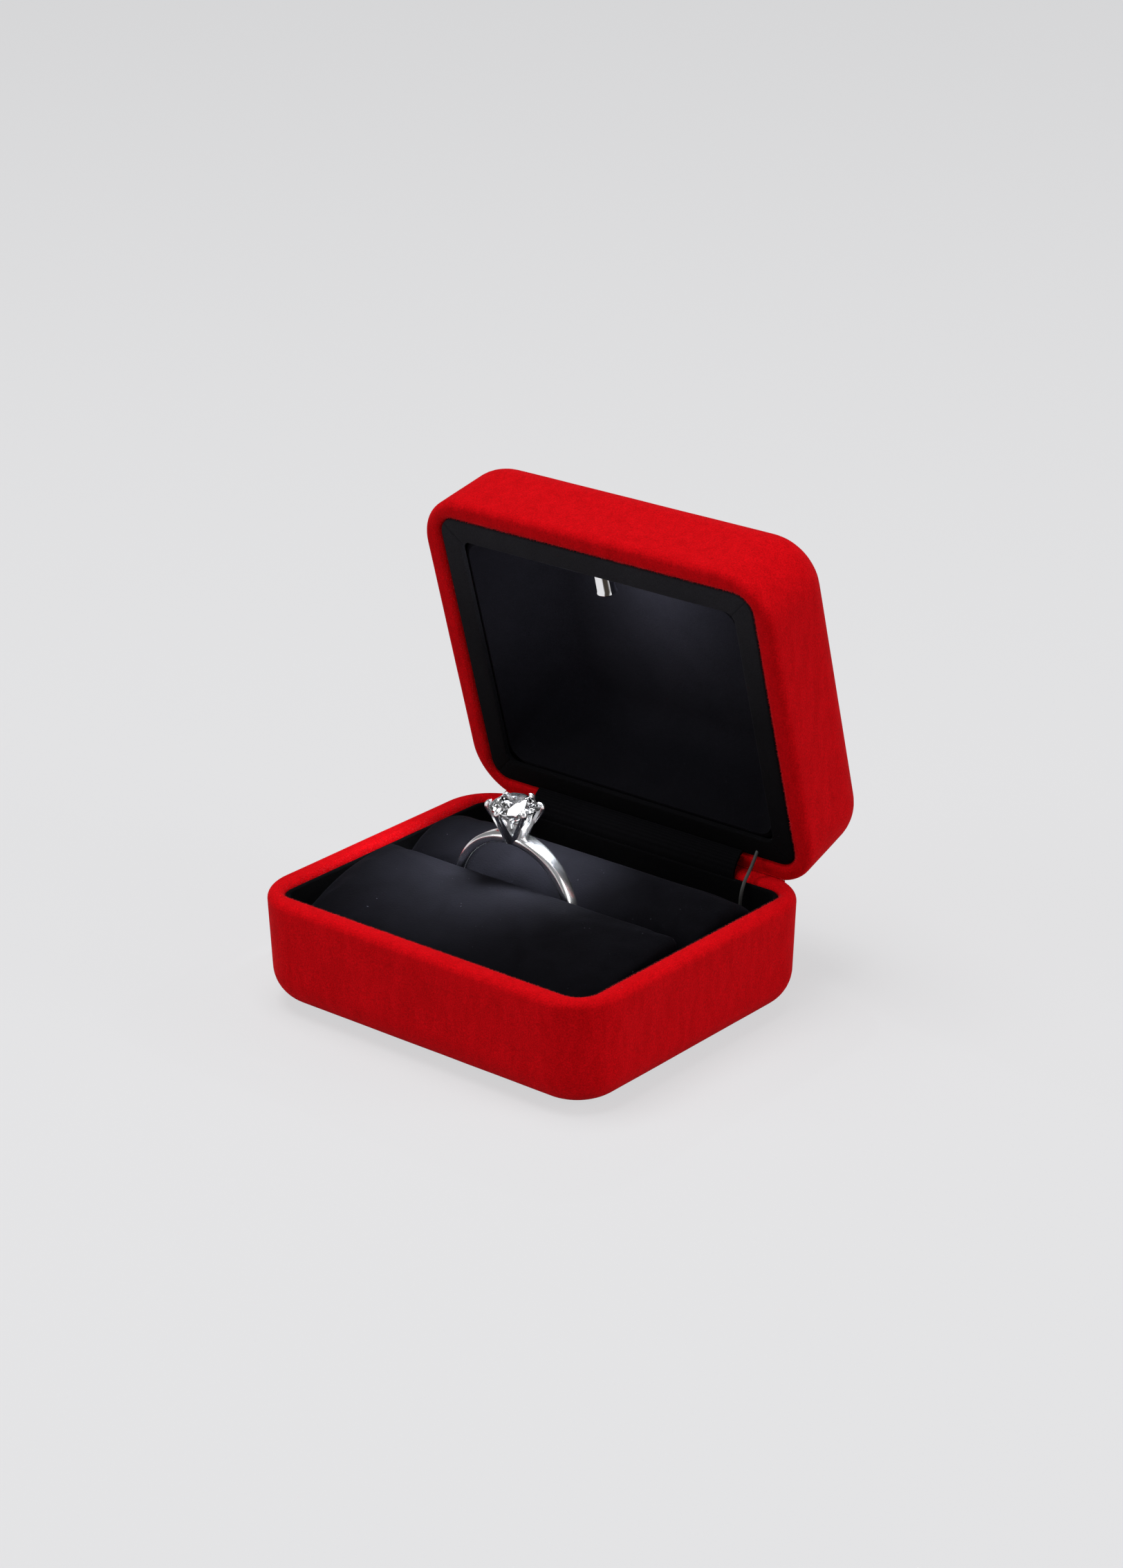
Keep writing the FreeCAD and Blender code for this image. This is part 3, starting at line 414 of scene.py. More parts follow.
@dataclass(frozen=True)
class Lit:
    """Clear lens with a bright core."""

    name: str
    tint: Colour
    strength: float

    def material(self) -> Material:
        """Make the lens's material."""
        shader = Shader(self.name)
        cloud = shader.noise(0.8, 2.0)
        shader.wire(shader.ramp(cloud, [(0.3, (0.86, 0.9, 0.95)), (0.7, self.tint)]), "Base Color")
        shader.wire(shader.spread(cloud, 0.08, 0.16), "Roughness")
        shader.plain(Emission_Color=self.tint, Emission_Strength=self.strength)
        return shader.material


@dataclass(frozen=True)
class Gem:
    """Clear cut stone."""

    name: str
    index: float

    def material(self) -> Material:
        """Make the stone's material."""
        shader = Shader(self.name)
        veil = shader.noise(1.2, 2.0)
        shader.wire(shader.ramp(veil, [(0.3, (0.95, 0.97, 1.0)), (0.7, grey(1.0))]), "Base Color")
        shader.wire(shader.spread(veil, 0.0, 0.02), "Roughness")
        shader.plain(Transmission_Weight=1.0, IOR=self.index)
        return shader.material


Finish = Velvet | Felt | Woven | Metal | Moulded | Lit | Gem

RED_VELVET = Velvet(
    "red_velvet", (0.585, 0.002, 0.005), (0.5, 0.0012, 0.0035), (1.0, 0.14, 0.18), 0.06, nap=2.2, comb=(1.5, 1.5, 0.5)
)
# painted highlight: the fibres are a paler, pinker copy of the red velvet, standing for light caught along the rim's
# edge
RED_PILE_PAINTED_HIGHLIGHT = Velvet("red_pile_painted_highlight", (0.7, 0.035, 0.045), (0.56, 0.012, 0.018), (1.0, 0.5, 0.52), 0.3, nap=2.0)
BLACK_VELVET = Velvet(
    "black_velvet", (0.003, 0.0029, 0.0042), (0.0019, 0.0018, 0.0027), (0.7, 0.7, 0.9), 0.022, nap=4.0, lint=0.2
)
# painted shade low down and painted light high up on the open lid, set by height; the base's collar sits in the painted
# shade
BLACK_FLOCK = Velvet(
    "black_flock", (0.0105, 0.0102, 0.0118), (0.0085, 0.0083, 0.0097), (0.7, 0.7, 0.8), 0.012, nap=8.0, tip=0.16,
    painted_light_by_height=(0.25, 0.9, 2.4),
)
# painted light on the panel's upper part and painted shade low down, set by height
BLACK_PANEL = Velvet(
    "black_panel", (0.0066, 0.0063, 0.0082), (0.0054, 0.0052, 0.0068), (0.7, 0.7, 0.85), 0.008, nap=8.0, tip=0.16,
    painted_light_by_height=(0.45, 1.75, 1.6),
)
RIBBON = Woven("ribbon_weave", (0.0022, 0.0022, 0.0027), (0.0014, 0.0014, 0.0018))
FELT = Felt("base_felt", (0.05, 0.048, 0.052), (0.025, 0.024, 0.026))
SHELL = Moulded("shell_plastic", (0.065, 0.065, 0.07), (0.045, 0.045, 0.05))
HOLDER = Moulded("holder_plastic", (0.1, 0.1, 0.11), (0.07, 0.07, 0.08))
BOARD = Moulded("board_lacquer", (0.045, 0.24, 0.1), (0.025, 0.16, 0.06), 0.2, 0.35)
RESISTOR = Moulded("resistor_body", (0.74, 0.6, 0.4), (0.66, 0.52, 0.33), 0.25, 0.4, bands=0.8)
PLUNGER = Moulded("plunger_plastic", (0.84, 0.84, 0.82), (0.76, 0.76, 0.74), 0.35, 0.5)
LEAD = Moulded("lead_insulation", (0.055, 0.054, 0.052), (0.035, 0.034, 0.033), 0.45, 0.6)
STEEL = Metal("bare_steel", (0.62, 0.62, 0.62), (0.5, 0.5, 0.5), 0.22, 0.4, (1, 6, 6))
HINGE = Metal("hinge_blacked", (0.02, 0.02, 0.021), (0.012, 0.012, 0.013), 0.5, 0.65, (1, 6, 6))
CELL = Metal("cell_steel", (0.78, 0.78, 0.77), (0.7, 0.7, 0.69), 0.12, 0.25)
# painted reflection: the sleeve's light and dark bands are painted into its colour
SLEEVE = Metal("lamp_sleeve", (0.95, 0.95, 0.96), (0.06, 0.05, 0.04), 0.05, 0.1, painted_band_pitch_and_inset=1.9)
RING_METAL = Metal("ring_metal", (0.92, 0.92, 0.93), (0.87, 0.87, 0.88), 0.14, 0.24)
LENS = Lit("lamp_lens", (0.93, 0.97, 1.0), 4.0)
STONE = Gem("clear_stone", 2.2)


class Palette:
    """Makes each finish once and puts it on pieces."""

    made: dict[str, Material] = {}

    @classmethod
    def dress(cls, obj: Object, finish: Finish) -> None:
        """Give a piece its finish.

        Args:
            obj: the piece or CAD node.
            finish: the finish that it gets.
        """
        if finish.name not in cls.made:
            cls.made[finish.name] = finish.material()
        obj.data.materials.clear()
        obj.data.materials.append(cls.made[finish.name])

    @classmethod
    def dress_from(cls, obj: Object, finish: Velvet, first: int) -> None:
        """Give the last faces of a piece another finish that is already in use.

        Args:
            obj: the piece.
            finish: the finish that these faces get.
            first: number of the first such face.
        """
        obj.data.materials.append(cls.made[finish.name])
        for face in obj.data.polygons[first:]:
            face.material_index = len(obj.data.materials) - 1


# ---------------------------------------------------------------- bench


def quarter_up(radius: float, steps: int) -> list[Step]:
    """Profile steps of a quarter round that starts along the face's normal and ends level with the face.

    Args:
        radius: radius in millimetres.
        steps: number of steps.

    Returns:
        Steps of (inwards, along the normal).
    """
    angles = [math.pi / 2 * index / steps for index in range(steps + 1)]
    points = [(radius * (1 - math.cos(angle)), radius * math.sin(angle)) for angle in angles]
    return [(b[0] - a[0], b[1] - a[1]) for a, b in zip(points, points[1:])]


def quarter_down(radius: float, steps: int) -> list[Step]:
    """Profile steps of a quarter round that starts level with the face and ends down its hole.

    Args:
        radius: radius in millimetres.
        steps: number of steps.

    Returns:
        Steps of (inwards, along the normal).
    """
    return [(along, -inward) for inward, along in quarter_up(radius, steps)]


class Workpiece:
    """One mesh on the bench, shaped by operators. Every length is in millimetres."""

    def __init__(self, name: str) -> None:
        """Take the active object.

        Args:
            name: the piece's name.
        """
        self.obj: Object = bpy.context.object
        self.obj.name = name
        self.obj.data.name = name

    @staticmethod
    def clear_bench() -> None:
        """Leave edit mode and deselect everything."""
        if bpy.context.object is not None and bpy.context.object.mode != "OBJECT":
            bpy.ops.object.mode_set(mode="OBJECT")
        bpy.ops.object.select_all(action="DESELECT")

    @classmethod
    def plate(cls, name: str, half_w: float, half_d: float, radius: float, z: float, steps: int = 16) -> Workpiece:
        """Flat face with round corners, left in edit mode with everything selected.

        Args:
            name: the piece's name.
            half_w: half its width along X.
            half_d: half its depth along Y.
            radius: corner radius.
            z: its level.
            steps: segments of each corner.

        Returns:
            The piece.
        """
        cls.clear_bench()
        bpy.ops.mesh.primitive_plane_add(size=2.0, location=(0, 0, z * MM))
        piece = cls(name)
        piece.obj.scale = (half_w * MM, half_d * MM, 1.0)
        bpy.ops.object.transform_apply(location=True, rotation=True, scale=True)
        piece.edit()
        bpy.ops.mesh.select_all(action="SELECT")
        bpy.ops.mesh.bevel(offset=radius * MM, segments=steps, affect="VERTICES", clamp_overlap=False)
        return piece

    @classmethod
    def loft(cls, name: str, sections: Sequence[Section]) -> Workpiece:
        """Skin through level sections with round corners, left in edit mode.

        Args:
            name: the piece's name.
            sections: half width, half depth, corner radius and level of each section, in order.

        Returns:
            The piece.
        """
        rings = [cls.plate(name, *section) for section in sections]
        piece = rings[0]
        piece.take(rings[1:])
        piece.edit()
        piece.pick_faces(lambda middle, normal: True)
        bpy.ops.mesh.delete(type="ONLY_FACE")
        levels = [section[3] for section in sections]
        for pair in zip(levels, levels[1:]):
            piece.pick_edges(partial(cls.on_level, pair))
            bpy.ops.mesh.bridge_edge_loops()
        return piece

    @staticmethod
    def on_level(levels: Sequence[float], start: Vector, end: Vector) -> bool:
        """True for an edge that lies on one of the levels."""
        return abs(start.z - end.z) < SLACK and min(abs(start.z - level) for level in levels) < SLACK

    @classmethod
    def line(cls, name: str, points: Sequence[Sequence[float]]) -> Workpiece:
        """Chain of edges through points, left in edit mode.

        Args:
            name: the piece's name.
            points: the chain's points.

        Returns:
            The piece.
        """
        cls.clear_bench()
        bpy.ops.mesh.primitive_plane_add(size=MM, location=(0, 0, 0))
        piece = cls(name)
        piece.edit()
        bpy.ops.mesh.select_mode(type="VERT")
        piece.pick_all()
        bpy.ops.mesh.merge(type="CENTER")
        piece.pick_all()
        piece.shift(points[0])
        for before, after in zip(points, points[1:]):
            piece.extrude(Vector(after) - Vector(before))
        return piece

    @classmethod
    def adopt(cls, name: str, data: Mesh | Curve) -> Workpiece:
        """Piece made of ready data, selected and active.

        Args:
            name: the piece's name.
            data: its mesh or curve.

        Returns:
            The piece.
        """
        cls.clear_bench()
        obj = bpy.data.objects.new(name, data)
        bpy.context.scene.collection.objects.link(obj)
        obj.select_set(True)
        bpy.context.view_layer.objects.active = obj
        return cls(name)

    def edit(self) -> None:
        """Enter edit mode."""
        if self.obj.mode != "EDIT":
            bpy.ops.object.mode_set(mode="EDIT")

    def wake(self) -> None:
        """Make the piece the only one selected, and active."""
        self.clear_bench()
        self.obj.select_set(True)
        bpy.context.view_layer.objects.active = self.obj

    def rest(self) -> None:
        """Leave edit mode."""
        if self.obj.mode != "OBJECT":
            bpy.ops.object.mode_set(mode="OBJECT")

    def pick(self, kind: str, test: Callable[..., bool]) -> None:
        """Select some faces, edges or points.

        Args:
            kind: FACE, EDGE or VERT.
            test: says yes to one of them.
        """
        bpy.ops.mesh.select_mode(type=kind)
        bpy.ops.mesh.select_all(action="DESELECT")
        mesh = bmesh.from_edit_mesh(self.obj.data)
        for part in {"FACE": mesh.faces, "EDGE": mesh.edges, "VERT": mesh.verts}[kind]:
            if test(part):
                part.select_set(True)
        bmesh.update_edit_mesh(self.obj.data)

    def pick_faces(self, test: Callable[[Vector, Vector], bool]) -> None:
        """Select faces by a test of middle, in millimetres, and normal."""
        self.pick("FACE", lambda face: test(face.calc_center_median() / MM, face.normal))

    def pick_edges(self, test: Callable[[Vector, Vector], bool]) -> None:
        """Select edges by a test of both ends, in millimetres."""
        self.pick("EDGE", lambda edge: test(edge.verts[0].co / MM, edge.verts[1].co / MM))

    def pick_points(self, test: Callable[[Vector], bool]) -> None:
        """Select points by a test of their place, in millimetres."""
        self.pick("VERT", lambda point: test(point.co / MM))

    @staticmethod
    def pick_all() -> None:
        """Select everything."""
        bpy.ops.mesh.select_all(action="SELECT")

    def follow(self, steps: Sequence[Step]) -> None:
        """Draw the selected face along a profile.

        Args:
            steps: (inwards, along the normal) of each step.
        """
        for inward, along in steps:
            bpy.ops.mesh.inset(thickness=max(inward, 0.0) * MM, depth=along * MM, use_even_offset=True)

    def extrude(self, move: Sequence[float]) -> None:
        """Extrude what is selected."""
        bpy.ops.mesh.extrude_region_move(TRANSFORM_OT_translate={"value": Vector(move) * MM})

    def resize(self, scale: Sequence[float], centre: Sequence[float]) -> None:
        """Scale what is selected about a point."""
        bpy.ops.transform.resize(value=scale, center_override=Vector(centre) * MM)

    def shift(self, move: Sequence[float]) -> None:
        """Move what is selected."""
        bpy.ops.transform.translate(value=Vector(move) * MM)

    def slice(self, point: Sequence[float], normal: Sequence[float], drop: bool = False) -> None:
        """Cut the whole mesh along a plane.

        Args:
            point: a point on the plane.
            normal: the plane's normal.
            drop: deletes what lies on the normal's side.
        """
        bpy.ops.mesh.select_mode(type="FACE")
        self.pick_all()
        bpy.ops.mesh.bisect(plane_co=Vector(point) * MM, plane_no=normal, clear_outer=drop)

    def spin(self, axis: Sequence[float], steps: int) -> None:
        """Turn everything once about an axis through the origin and close the seam."""
        self.pick_all()
        bpy.ops.mesh.spin(steps=steps, angle=2 * math.pi, center=(0, 0, 0), axis=axis)
        self.weld()

    def merge(self, reach: float = WELD) -> None:
        """Merge points that lie within a distance of each other."""
        self.pick_all()
        bpy.ops.mesh.remove_doubles(threshold=reach * MM)

    def face_out(self) -> None:
        """Turn the faces outwards."""
        self.pick_all()
        bpy.ops.mesh.normals_make_consistent(inside=False)

    def weld(self) -> None:
        """Merge doubles and turn the faces outwards."""
        self.merge()
        self.face_out()

    def place(self, matrix: Matrix) -> None:
        """Move the finished mesh and leave the object at the origin."""
        self.rest()
        self.obj.matrix_world = matrix @ self.obj.matrix_world
        bpy.ops.object.transform_apply(location=True, rotation=True, scale=True)

    def apply(self, kind: str, **settings: object) -> None:
        """Add a modifier and apply it.

        Args:
            kind: the modifier's type.
            settings: its settings.
        """
        self.rest()
        modifier = self.obj.modifiers.new(kind.lower(), kind)
        for name, value in settings.items():
            setattr(modifier, name, value)
        bpy.ops.object.modifier_apply(modifier=modifier.name)

    def cut(self, tool: Workpiece) -> None:
        """Take another piece's shape away from this one, and remove that piece."""
        self.wake()
        self.apply("BOOLEAN", object=tool.obj, operation="DIFFERENCE", solver="EXACT")
        bpy.data.objects.remove(tool.obj)

    def take(self, others: Sequence[Workpiece]) -> None:
        """Join other pieces into this one."""
        self.clear_bench()
        for piece in (*others, self):
            piece.obj.select_set(True)
        bpy.context.view_layer.objects.active = self.obj
        bpy.ops.object.join()

    def twin(self, matrix: Matrix) -> Workpiece:
        """Copy the piece with its own mesh, moved by a matrix."""
        self.rest()
        self.wake()
        bpy.ops.object.duplicate()
        copy = Workpiece(self.obj.name + "_copy")
        copy.place(matrix)
        return copy

    def smooth(self, degrees: float = 40.0) -> None:
        """Shade smooth, with sharp edges past an angle."""
        self.rest()
        self.wake()
        bpy.ops.object.shade_smooth_by_angle(angle=math.radians(degrees))

    def area(self) -> float:
        """Total area of the faces, in square metres."""
        return sum(face.area for face in self.obj.data.polygons)


def hand_over(
    piece: Workpiece, finish: Finish, body: Body | None = None, node: str | None = None
) -> Object:
    """Dress a finished piece, tie it to its body and hide the CAD node that it stands for.

    Args:
        piece: the finished mesh.
        finish: the finish that it gets.
        body: the body that it rides on, if there is just one.
        node: the CAD node that it stands for, if there is one.

    Returns:
        The piece's object.
    """
    Palette.dress(piece.obj, finish)
    if body is not None:
        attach(piece.obj, body.value)
    if node is not None:
        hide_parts(node)
    return piece.obj


# ---------------------------------------------------------------- sub-assemblies


@dataclass(frozen=True)
class BoxPlan:
    """Sizes shared by the sub-assemblies, with the lid closed."""

    half_w: float = 31.0
    half_d: float = 25.75
    corner_r: float = 8.3
    sheet_t: float = 0.6
    base_h: float = 17.2
    rim_gap: float = 0.4
    lid_h: float = 15.5
    rim_w: float = 3.3
    mouth_r: float = 2.9
    lining_in: float = 3.35
    hinge_y: float = 24.5
    hinge_half: float = 17.25
    open_degrees: float = 75.0
    least_r: float = 0.7

    @property
    def lid_z(self) -> float:
        """Level of the closed lid's rim."""
        return self.base_h + self.rim_gap

    @property
    def hinge_z(self) -> float:
        """Level of the hinge line."""
        return self.base_h + self.rim_gap / 2

    @property
    def opening(self) -> Matrix:
        """Swing from the closed lid to the open rest pose."""
        hinge = Vector((0, self.hinge_y, self.hinge_z)) * MM
        swing = Matrix.Rotation(math.radians(-self.open_degrees), 4, "X")
        return Matrix.Translation(hinge) @ swing @ Matrix.Translation(-hinge)

    def opened(self, y: float, z: float) -> Vector:
        """Where a point of the closed lid's middle plane stands when the lid is open."""
        return self.opening @ (Vector((0, y, z)) * MM) / MM

    def section(self, inset: float, z: float, radius: float | None = None) -> Section:
        """Level section of the box, drawn in by an inset.

        Args:
            inset: how far it is drawn in.
            z: its level.
            radius: its corner radius, if it isn't in line with the box's own.

        Returns:
            Half width, half depth, corner radius and level.
        """
        corner = max(self.corner_r - inset, self.least_r) if radius is None else radius
        return (self.half_w - inset, self.half_d - inset, corner, z)

    def mouth(self, inset: float, z: float) -> Section:
        """Level section of the rim's mouth, whose corners are tighter than the box's."""
        return self.section(inset, z, max(self.mouth_r + self.rim_w - inset, self.least_r))


PLAN = BoxPlan()


@dataclass
class VelvetHalves:
    """Red velvet skins of the base and the lid, folded over their rims."""

    rim_r: float = 1.15
    wrap: float = 3.0
    skin_t: float = 0.55
    base_edge_r: float = 5.4
    lid_edge_r: float = 6.0
    base_taper: float = 0.4
    lid_taper: float = 0.5
    hem: float = 1.9
    grid: float = 2.5
    swell: float = 0.05
    swell_size: float = 7.0
    bevel_degrees: float = 38.5
    bevel_lead: float = 0.2
    notch_drop: float = 1.35
    rim_steps: int = 8
    edge_steps: int = 14
    sliver: float = 0.004
    bay_clear: float = 0.1
    bay_t: float = 0.7

    @staticmethod
    def seat(half: Half) -> Matrix:
        """Move from a half that lies mouth up, its rim at z = 0, to its place in the open box."""
        if half is Half.BASE:
            return Matrix.Translation((0, 0, PLAN.base_h * MM))
        return PLAN.opening @ Matrix.Translation((0, 0, PLAN.lid_z * MM)) @ Matrix.Rotation(math.pi, 4, "X")

    def rim_middle(self) -> Section:
        """Section along the middle of the rim."""
        radius = (PLAN.corner_r + PLAN.mouth_r) / 2
        return PLAN.section(PLAN.rim_w / 2, 0.0, radius)

    def outside(self, height: float, edge_r: float, taper: float) -> list[Section]:
        """Sections from the middle of the rim, over its outer edge and down to the closed end.

        Args:
            height: height of the half.
            edge_r: radius of the edge round its closed end.
            taper: how far the wall draws in.

        Returns:
            The sections, in order.
        """
        sections = [self.rim_middle()]
        for index in range(self.rim_steps + 1):
            angle = math.pi / 2 * (1 - index / self.rim_steps)
            inset = self.rim_r * (1 - math.cos(angle))
            sections.append(PLAN.section(inset, self.rim_r * (math.sin(angle) - 1) - self.sliver))
        wall = height - self.rim_r - edge_r
        rows = max(2, round(wall / self.grid))
        for index in range(1, rows + 1):
            sections.append(PLAN.section(taper * index / rows, -self.rim_r - wall * index / rows))
        for index in range(1, self.edge_steps + 1):
            angle = math.pi / 2 * index / self.edge_steps
            inset = taper + edge_r * (1 - math.cos(angle))
            sections.append(PLAN.section(inset, edge_r * (1 - math.sin(angle)) - height))
        return sections

    def inside(self) -> list[Section]:
        """Sections from the middle of the rim, over its inner edge and down to the end of the wrap."""
        sections = [self.rim_middle()]
        for index in range(self.rim_steps + 1):
            angle = math.pi / 2 * index / self.rim_steps
            inset = PLAN.rim_w - self.rim_r * (1 - math.sin(angle))
            sections.append(PLAN.mouth(inset, -self.rim_r * (1 - math.cos(angle)) - self.sliver))
        for share in (0.5, 1.0):
            sections.append(PLAN.mouth(PLAN.rim_w, -self.rim_r - (self.wrap - self.rim_r) * share))
        return sections

    def skin(self, name: str, half: Half) -> Workpiece:
        """One half as an open skin, mouth up, its rim at z = 0.

        Args:
            name: the piece's name.
            half: which half it is.

        Returns:
            The piece, in edit mode.
        """
        on_base = half is Half.BASE
        height = PLAN.base_h - PLAN.sheet_t if on_base else PLAN.lid_h
        edge_r = self.base_edge_r if on_base else self.lid_edge_r
        taper = self.base_taper if on_base else self.lid_taper
        wrap = Workpiece.loft("wrap", self.inside())
        wrap.rest()
        piece = Workpiece.loft(name, self.outside(height, edge_r, taper))
        piece.pick_edges(lambda start, end: max(start.z, end.z) < SLACK - height)
        bpy.ops.mesh.edge_face_add()
        if on_base:
            piece.pick_faces(lambda middle, normal: middle.z < SLACK - height)
            piece.follow([(self.hem, 0.0)])
            bpy.ops.mesh.delete(type="FACE")
        piece.rest()
        piece.take([wrap])
        piece.edit()
        return piece

    def lattice(self, piece: Workpiece) -> None:
        """Cut the straight runs into even cells, so that the velvet can swell."""
        for axis, reach in ((0, PLAN.half_w - PLAN.corner_r), (1, PLAN.half_d - PLAN.corner_r)):
            normal = [0.0, 0.0, 0.0]
            normal[axis] = 1.0
            count = int(2 * reach / self.grid)
            for index in range(count + 1):
                point = [0.0, 0.0, 0.0]
                point[axis] = -reach + 2 * reach * index / count
                piece.slice(point, normal)

    def clear_hinge(self, piece: Workpiece, half: Half) -> None:
        """Open the rear rim for the swing and the hinge.

        Args:
            piece: the skin, mouth up.
            half: which half it is.
        """
        rear = half.value
        hinge_z = PLAN.rim_gap / 2
        tilt = math.radians(self.bevel_degrees)
        start = (0, rear * (PLAN.hinge_y - self.bevel_lead), hinge_z)
        piece.slice(start, (0, rear * math.sin(tilt), math.cos(tilt)), drop=True)
        floor = hinge_z - self.notch_drop
        for x in (-PLAN.hinge_half, PLAN.hinge_half):
            piece.slice((x, 0, 0), (1, 0, 0))
        piece.slice((0, 0, floor), (0, 0, 1))
        inner = PLAN.half_d - PLAN.rim_w - self.bay_clear

        def in_the_way(middle: Vector, normal: Vector) -> bool:
            """True for faces in the hinge's notch or the leaf's bay."""
            if abs(middle.x) > PLAN.hinge_half or middle.y * rear < inner:
                return False
            in_bay = middle.y * rear < inner + self.bay_t and middle.z > -self.wrap - self.bay_clear
            return middle.z > floor or in_bay

        piece.pick_faces(in_the_way)
        bpy.ops.mesh.delete(type="FACE")

    def cover(self, half: Half) -> Object:
        """Build and dress one half's velvet.

        Args:
            half: which half it is.

        Returns:
            The piece.
        """
        node = half.body.value + "_cover"
        piece = self.skin("velvet_" + node, half)
        self.lattice(piece)
        piece.weld()
        clouds = bpy.data.textures.new(node + "_swell", "CLOUDS")
        clouds.noise_scale = self.swell_size * MM
        piece.apply("DISPLACE", texture=clouds, texture_coords="LOCAL", strength=self.swell * MM, mid_level=0.5)
        piece.edit()
        self.clear_hinge(piece, half)
        piece.rest()
        area = piece.area()
        piece.apply("SOLIDIFY", thickness=self.skin_t * MM, offset=-1.0, use_even_offset=True)
        piece.place(self.seat(half))
        piece.smooth(50.0)
        hand_over(piece, RED_VELVET, half.body, node)
        return piece.obj

    def build(self) -> list[Object]:
        """Make both covers."""
        return [self.cover(Half.BASE), self.cover(Half.LID)]


@dataclass
class RimPile:
    """Red pile: fibres along each rim's inner edge, and the velvet on the bevels beside the hinge."""

    per_mm: float = 26.0
    low_degrees: float = 14.0
    high_degrees: float = 82.0
    short: float = 0.13
    long: float = 0.34
    root: float = 0.035
    headroom: float = 0.18
    hinge_per_mm: float = 70.0
    hinge_near: float = 17.3
    hinge_band: tuple[float, float] = (24.5, 25.6)
    hinge_long: float = 0.12
    strip_lift: float = 0.1
    strip_t: float = 0.26
    strip_short: float = 1.3
    hinge_run: float = 9.0
    rear_clear: float = 1.0
    sink: float = 0.08
    lean: tuple[tuple[float, float], ...] = ((-0.5, 0.5), (-0.5, 0.5), (-0.4, 0.2))
    uneven: tuple[float, float] = (0.6, 1.1)
    seed: int = 11

    def on_edge(self, root: Vector, inward: Vector, chance: random.Random) -> Fibre:
        """Fibre on the rounded inner edge.

        Args:
            root: point of the mouth's outline.
            inward: level direction into the box.
            chance: source of the random spread.

        Returns:
            Its foot, the way the surface faces there, and its length.
        """
        share = chance.random()
        angle = math.radians(self.low_degrees + (self.high_degrees - self.low_degrees) * share)
        rise = Vector((0, 0, 1))
        facing = inward * math.sin(angle) + rise * math.cos(angle)
        foot = root + (facing - inward - rise) * VelvetHalves.rim_r
        return foot, facing, self.short + (self.long - self.short) * share

    def around_mouth(self, chance: random.Random) -> list[Fibre]:
        """Fibres round the mouth: foot, facing and length of each."""
        half_w, half_d, radius, _ = PLAN.mouth(PLAN.rim_w, 0.0)
        found = []
        for reach, across, level in ((half_w - radius, half_d, True), (half_d - radius, half_w, False)):
            for side in (-1, 1):
                for _ in range(round(2 * reach * self.per_mm)):
                    along = chance.uniform(-reach, reach)
                    place = (along, side * across, 0) if level else (side * across, along, 0)
                    inward = (0, -side, 0) if level else (-side, 0, 0)
                    found.append(self.on_edge(Vector(place), Vector(inward), chance))
        for side_x in (-1, 1):
            for side_y in (-1, 1):
                middle = Vector((side_x * (half_w - radius), side_y * (half_d - radius), 0))
                for _ in range(round(math.pi / 2 * radius * self.per_mm)):
                    turn = chance.uniform(0, math.pi / 2)
                    ray = Vector((side_x * math.cos(turn), side_y * math.sin(turn), 0))
                    found.append(self.on_edge(middle + ray * radius, -ray, chance))
        return found

    def bevel(self, x: float, y: float, half: Half, below: float = 0.0) -> Vector:
        """Point of the velvet on the bevel that lets the rear rim swing, mouth up.

        Args:
            x: place along the hinge.
            y: distance of the point from the box's middle.
            half: which half it is on.
            below: how far it is sunk.

        Returns:
            The point.
        """
        fall = math.tan(math.radians(VelvetHalves.bevel_degrees))
        level = PLAN.rim_gap / 2 - (y - PLAN.hinge_y + VelvetHalves.bevel_lead) * fall
        return Vector((x, half.value * y, level + self.strip_lift - below))

    @staticmethod
    def corner_x(y: float) -> float:
        """How far out the box's outline reaches at a distance from the middle."""
        return PLAN.half_w - PLAN.corner_r + math.sqrt(PLAN.corner_r**2 - (y - PLAN.half_d + PLAN.corner_r) ** 2)

    def beside_hinge(self, half: Half, chance: random.Random) -> list[Fibre]:
        """Fibres on the bevels beside the hinge: foot, facing and length of each."""
        tilt = math.radians(VelvetHalves.bevel_degrees)
        facing = Vector((0, half.value * math.sin(tilt), math.cos(tilt)))
        found = []
        for side in (-1, 1):
            for _ in range(round(self.hinge_run * self.hinge_per_mm)):
                y = chance.uniform(*self.hinge_band)
                x = side * chance.uniform(self.hinge_near, self.corner_x(y) - self.strip_short)
                found.append((self.bevel(x, y, half), facing, self.hinge_long))
        return found

    def strips(self, half: Half) -> list[list[Vector]]:
        """Velvet that covers the bevels beside the hinge: eight corners of each strip."""
        inner, outer = self.hinge_band
        found = []
        for side in (-1, 1):
            outline = [
                (self.hinge_near, inner), (self.corner_x(inner) - self.strip_short, inner),
                (self.corner_x(outer) - self.strip_short, outer), (self.hinge_near, outer),
            ]
            found.append([self.bevel(side * x, y, half, below) for below in (self.strip_t, 0.0) for x, y in outline])
        return found

    def fibre(self, foot: Vector, facing: Vector, length: float, chance: random.Random) -> list[Vector]:
        """Four corners of one fibre.

        Args:
            foot: where it grows.
            facing: the way the surface faces there.
            length: its usual length.
            chance: source of the random spread.

        Returns:
            Three corners of its foot and its tip.
        """
        spread = Vector([chance.uniform(*limits) for limits in self.lean])
        aim = (facing + spread).normalized()
        length *= chance.uniform(*self.uneven)
        if aim.z > 0:
            length = min(length, (self.headroom - foot.z) / aim.z)
        first = aim.orthogonal().normalized()
        second = aim.cross(first)
        corners = []
        for index in range(3):
            turn = 2 * math.pi * index / 3
            ray = first * math.cos(turn) + second * math.sin(turn)
            corners.append(foot - facing * self.sink + ray * self.root)
        return [*corners, foot + aim * length]

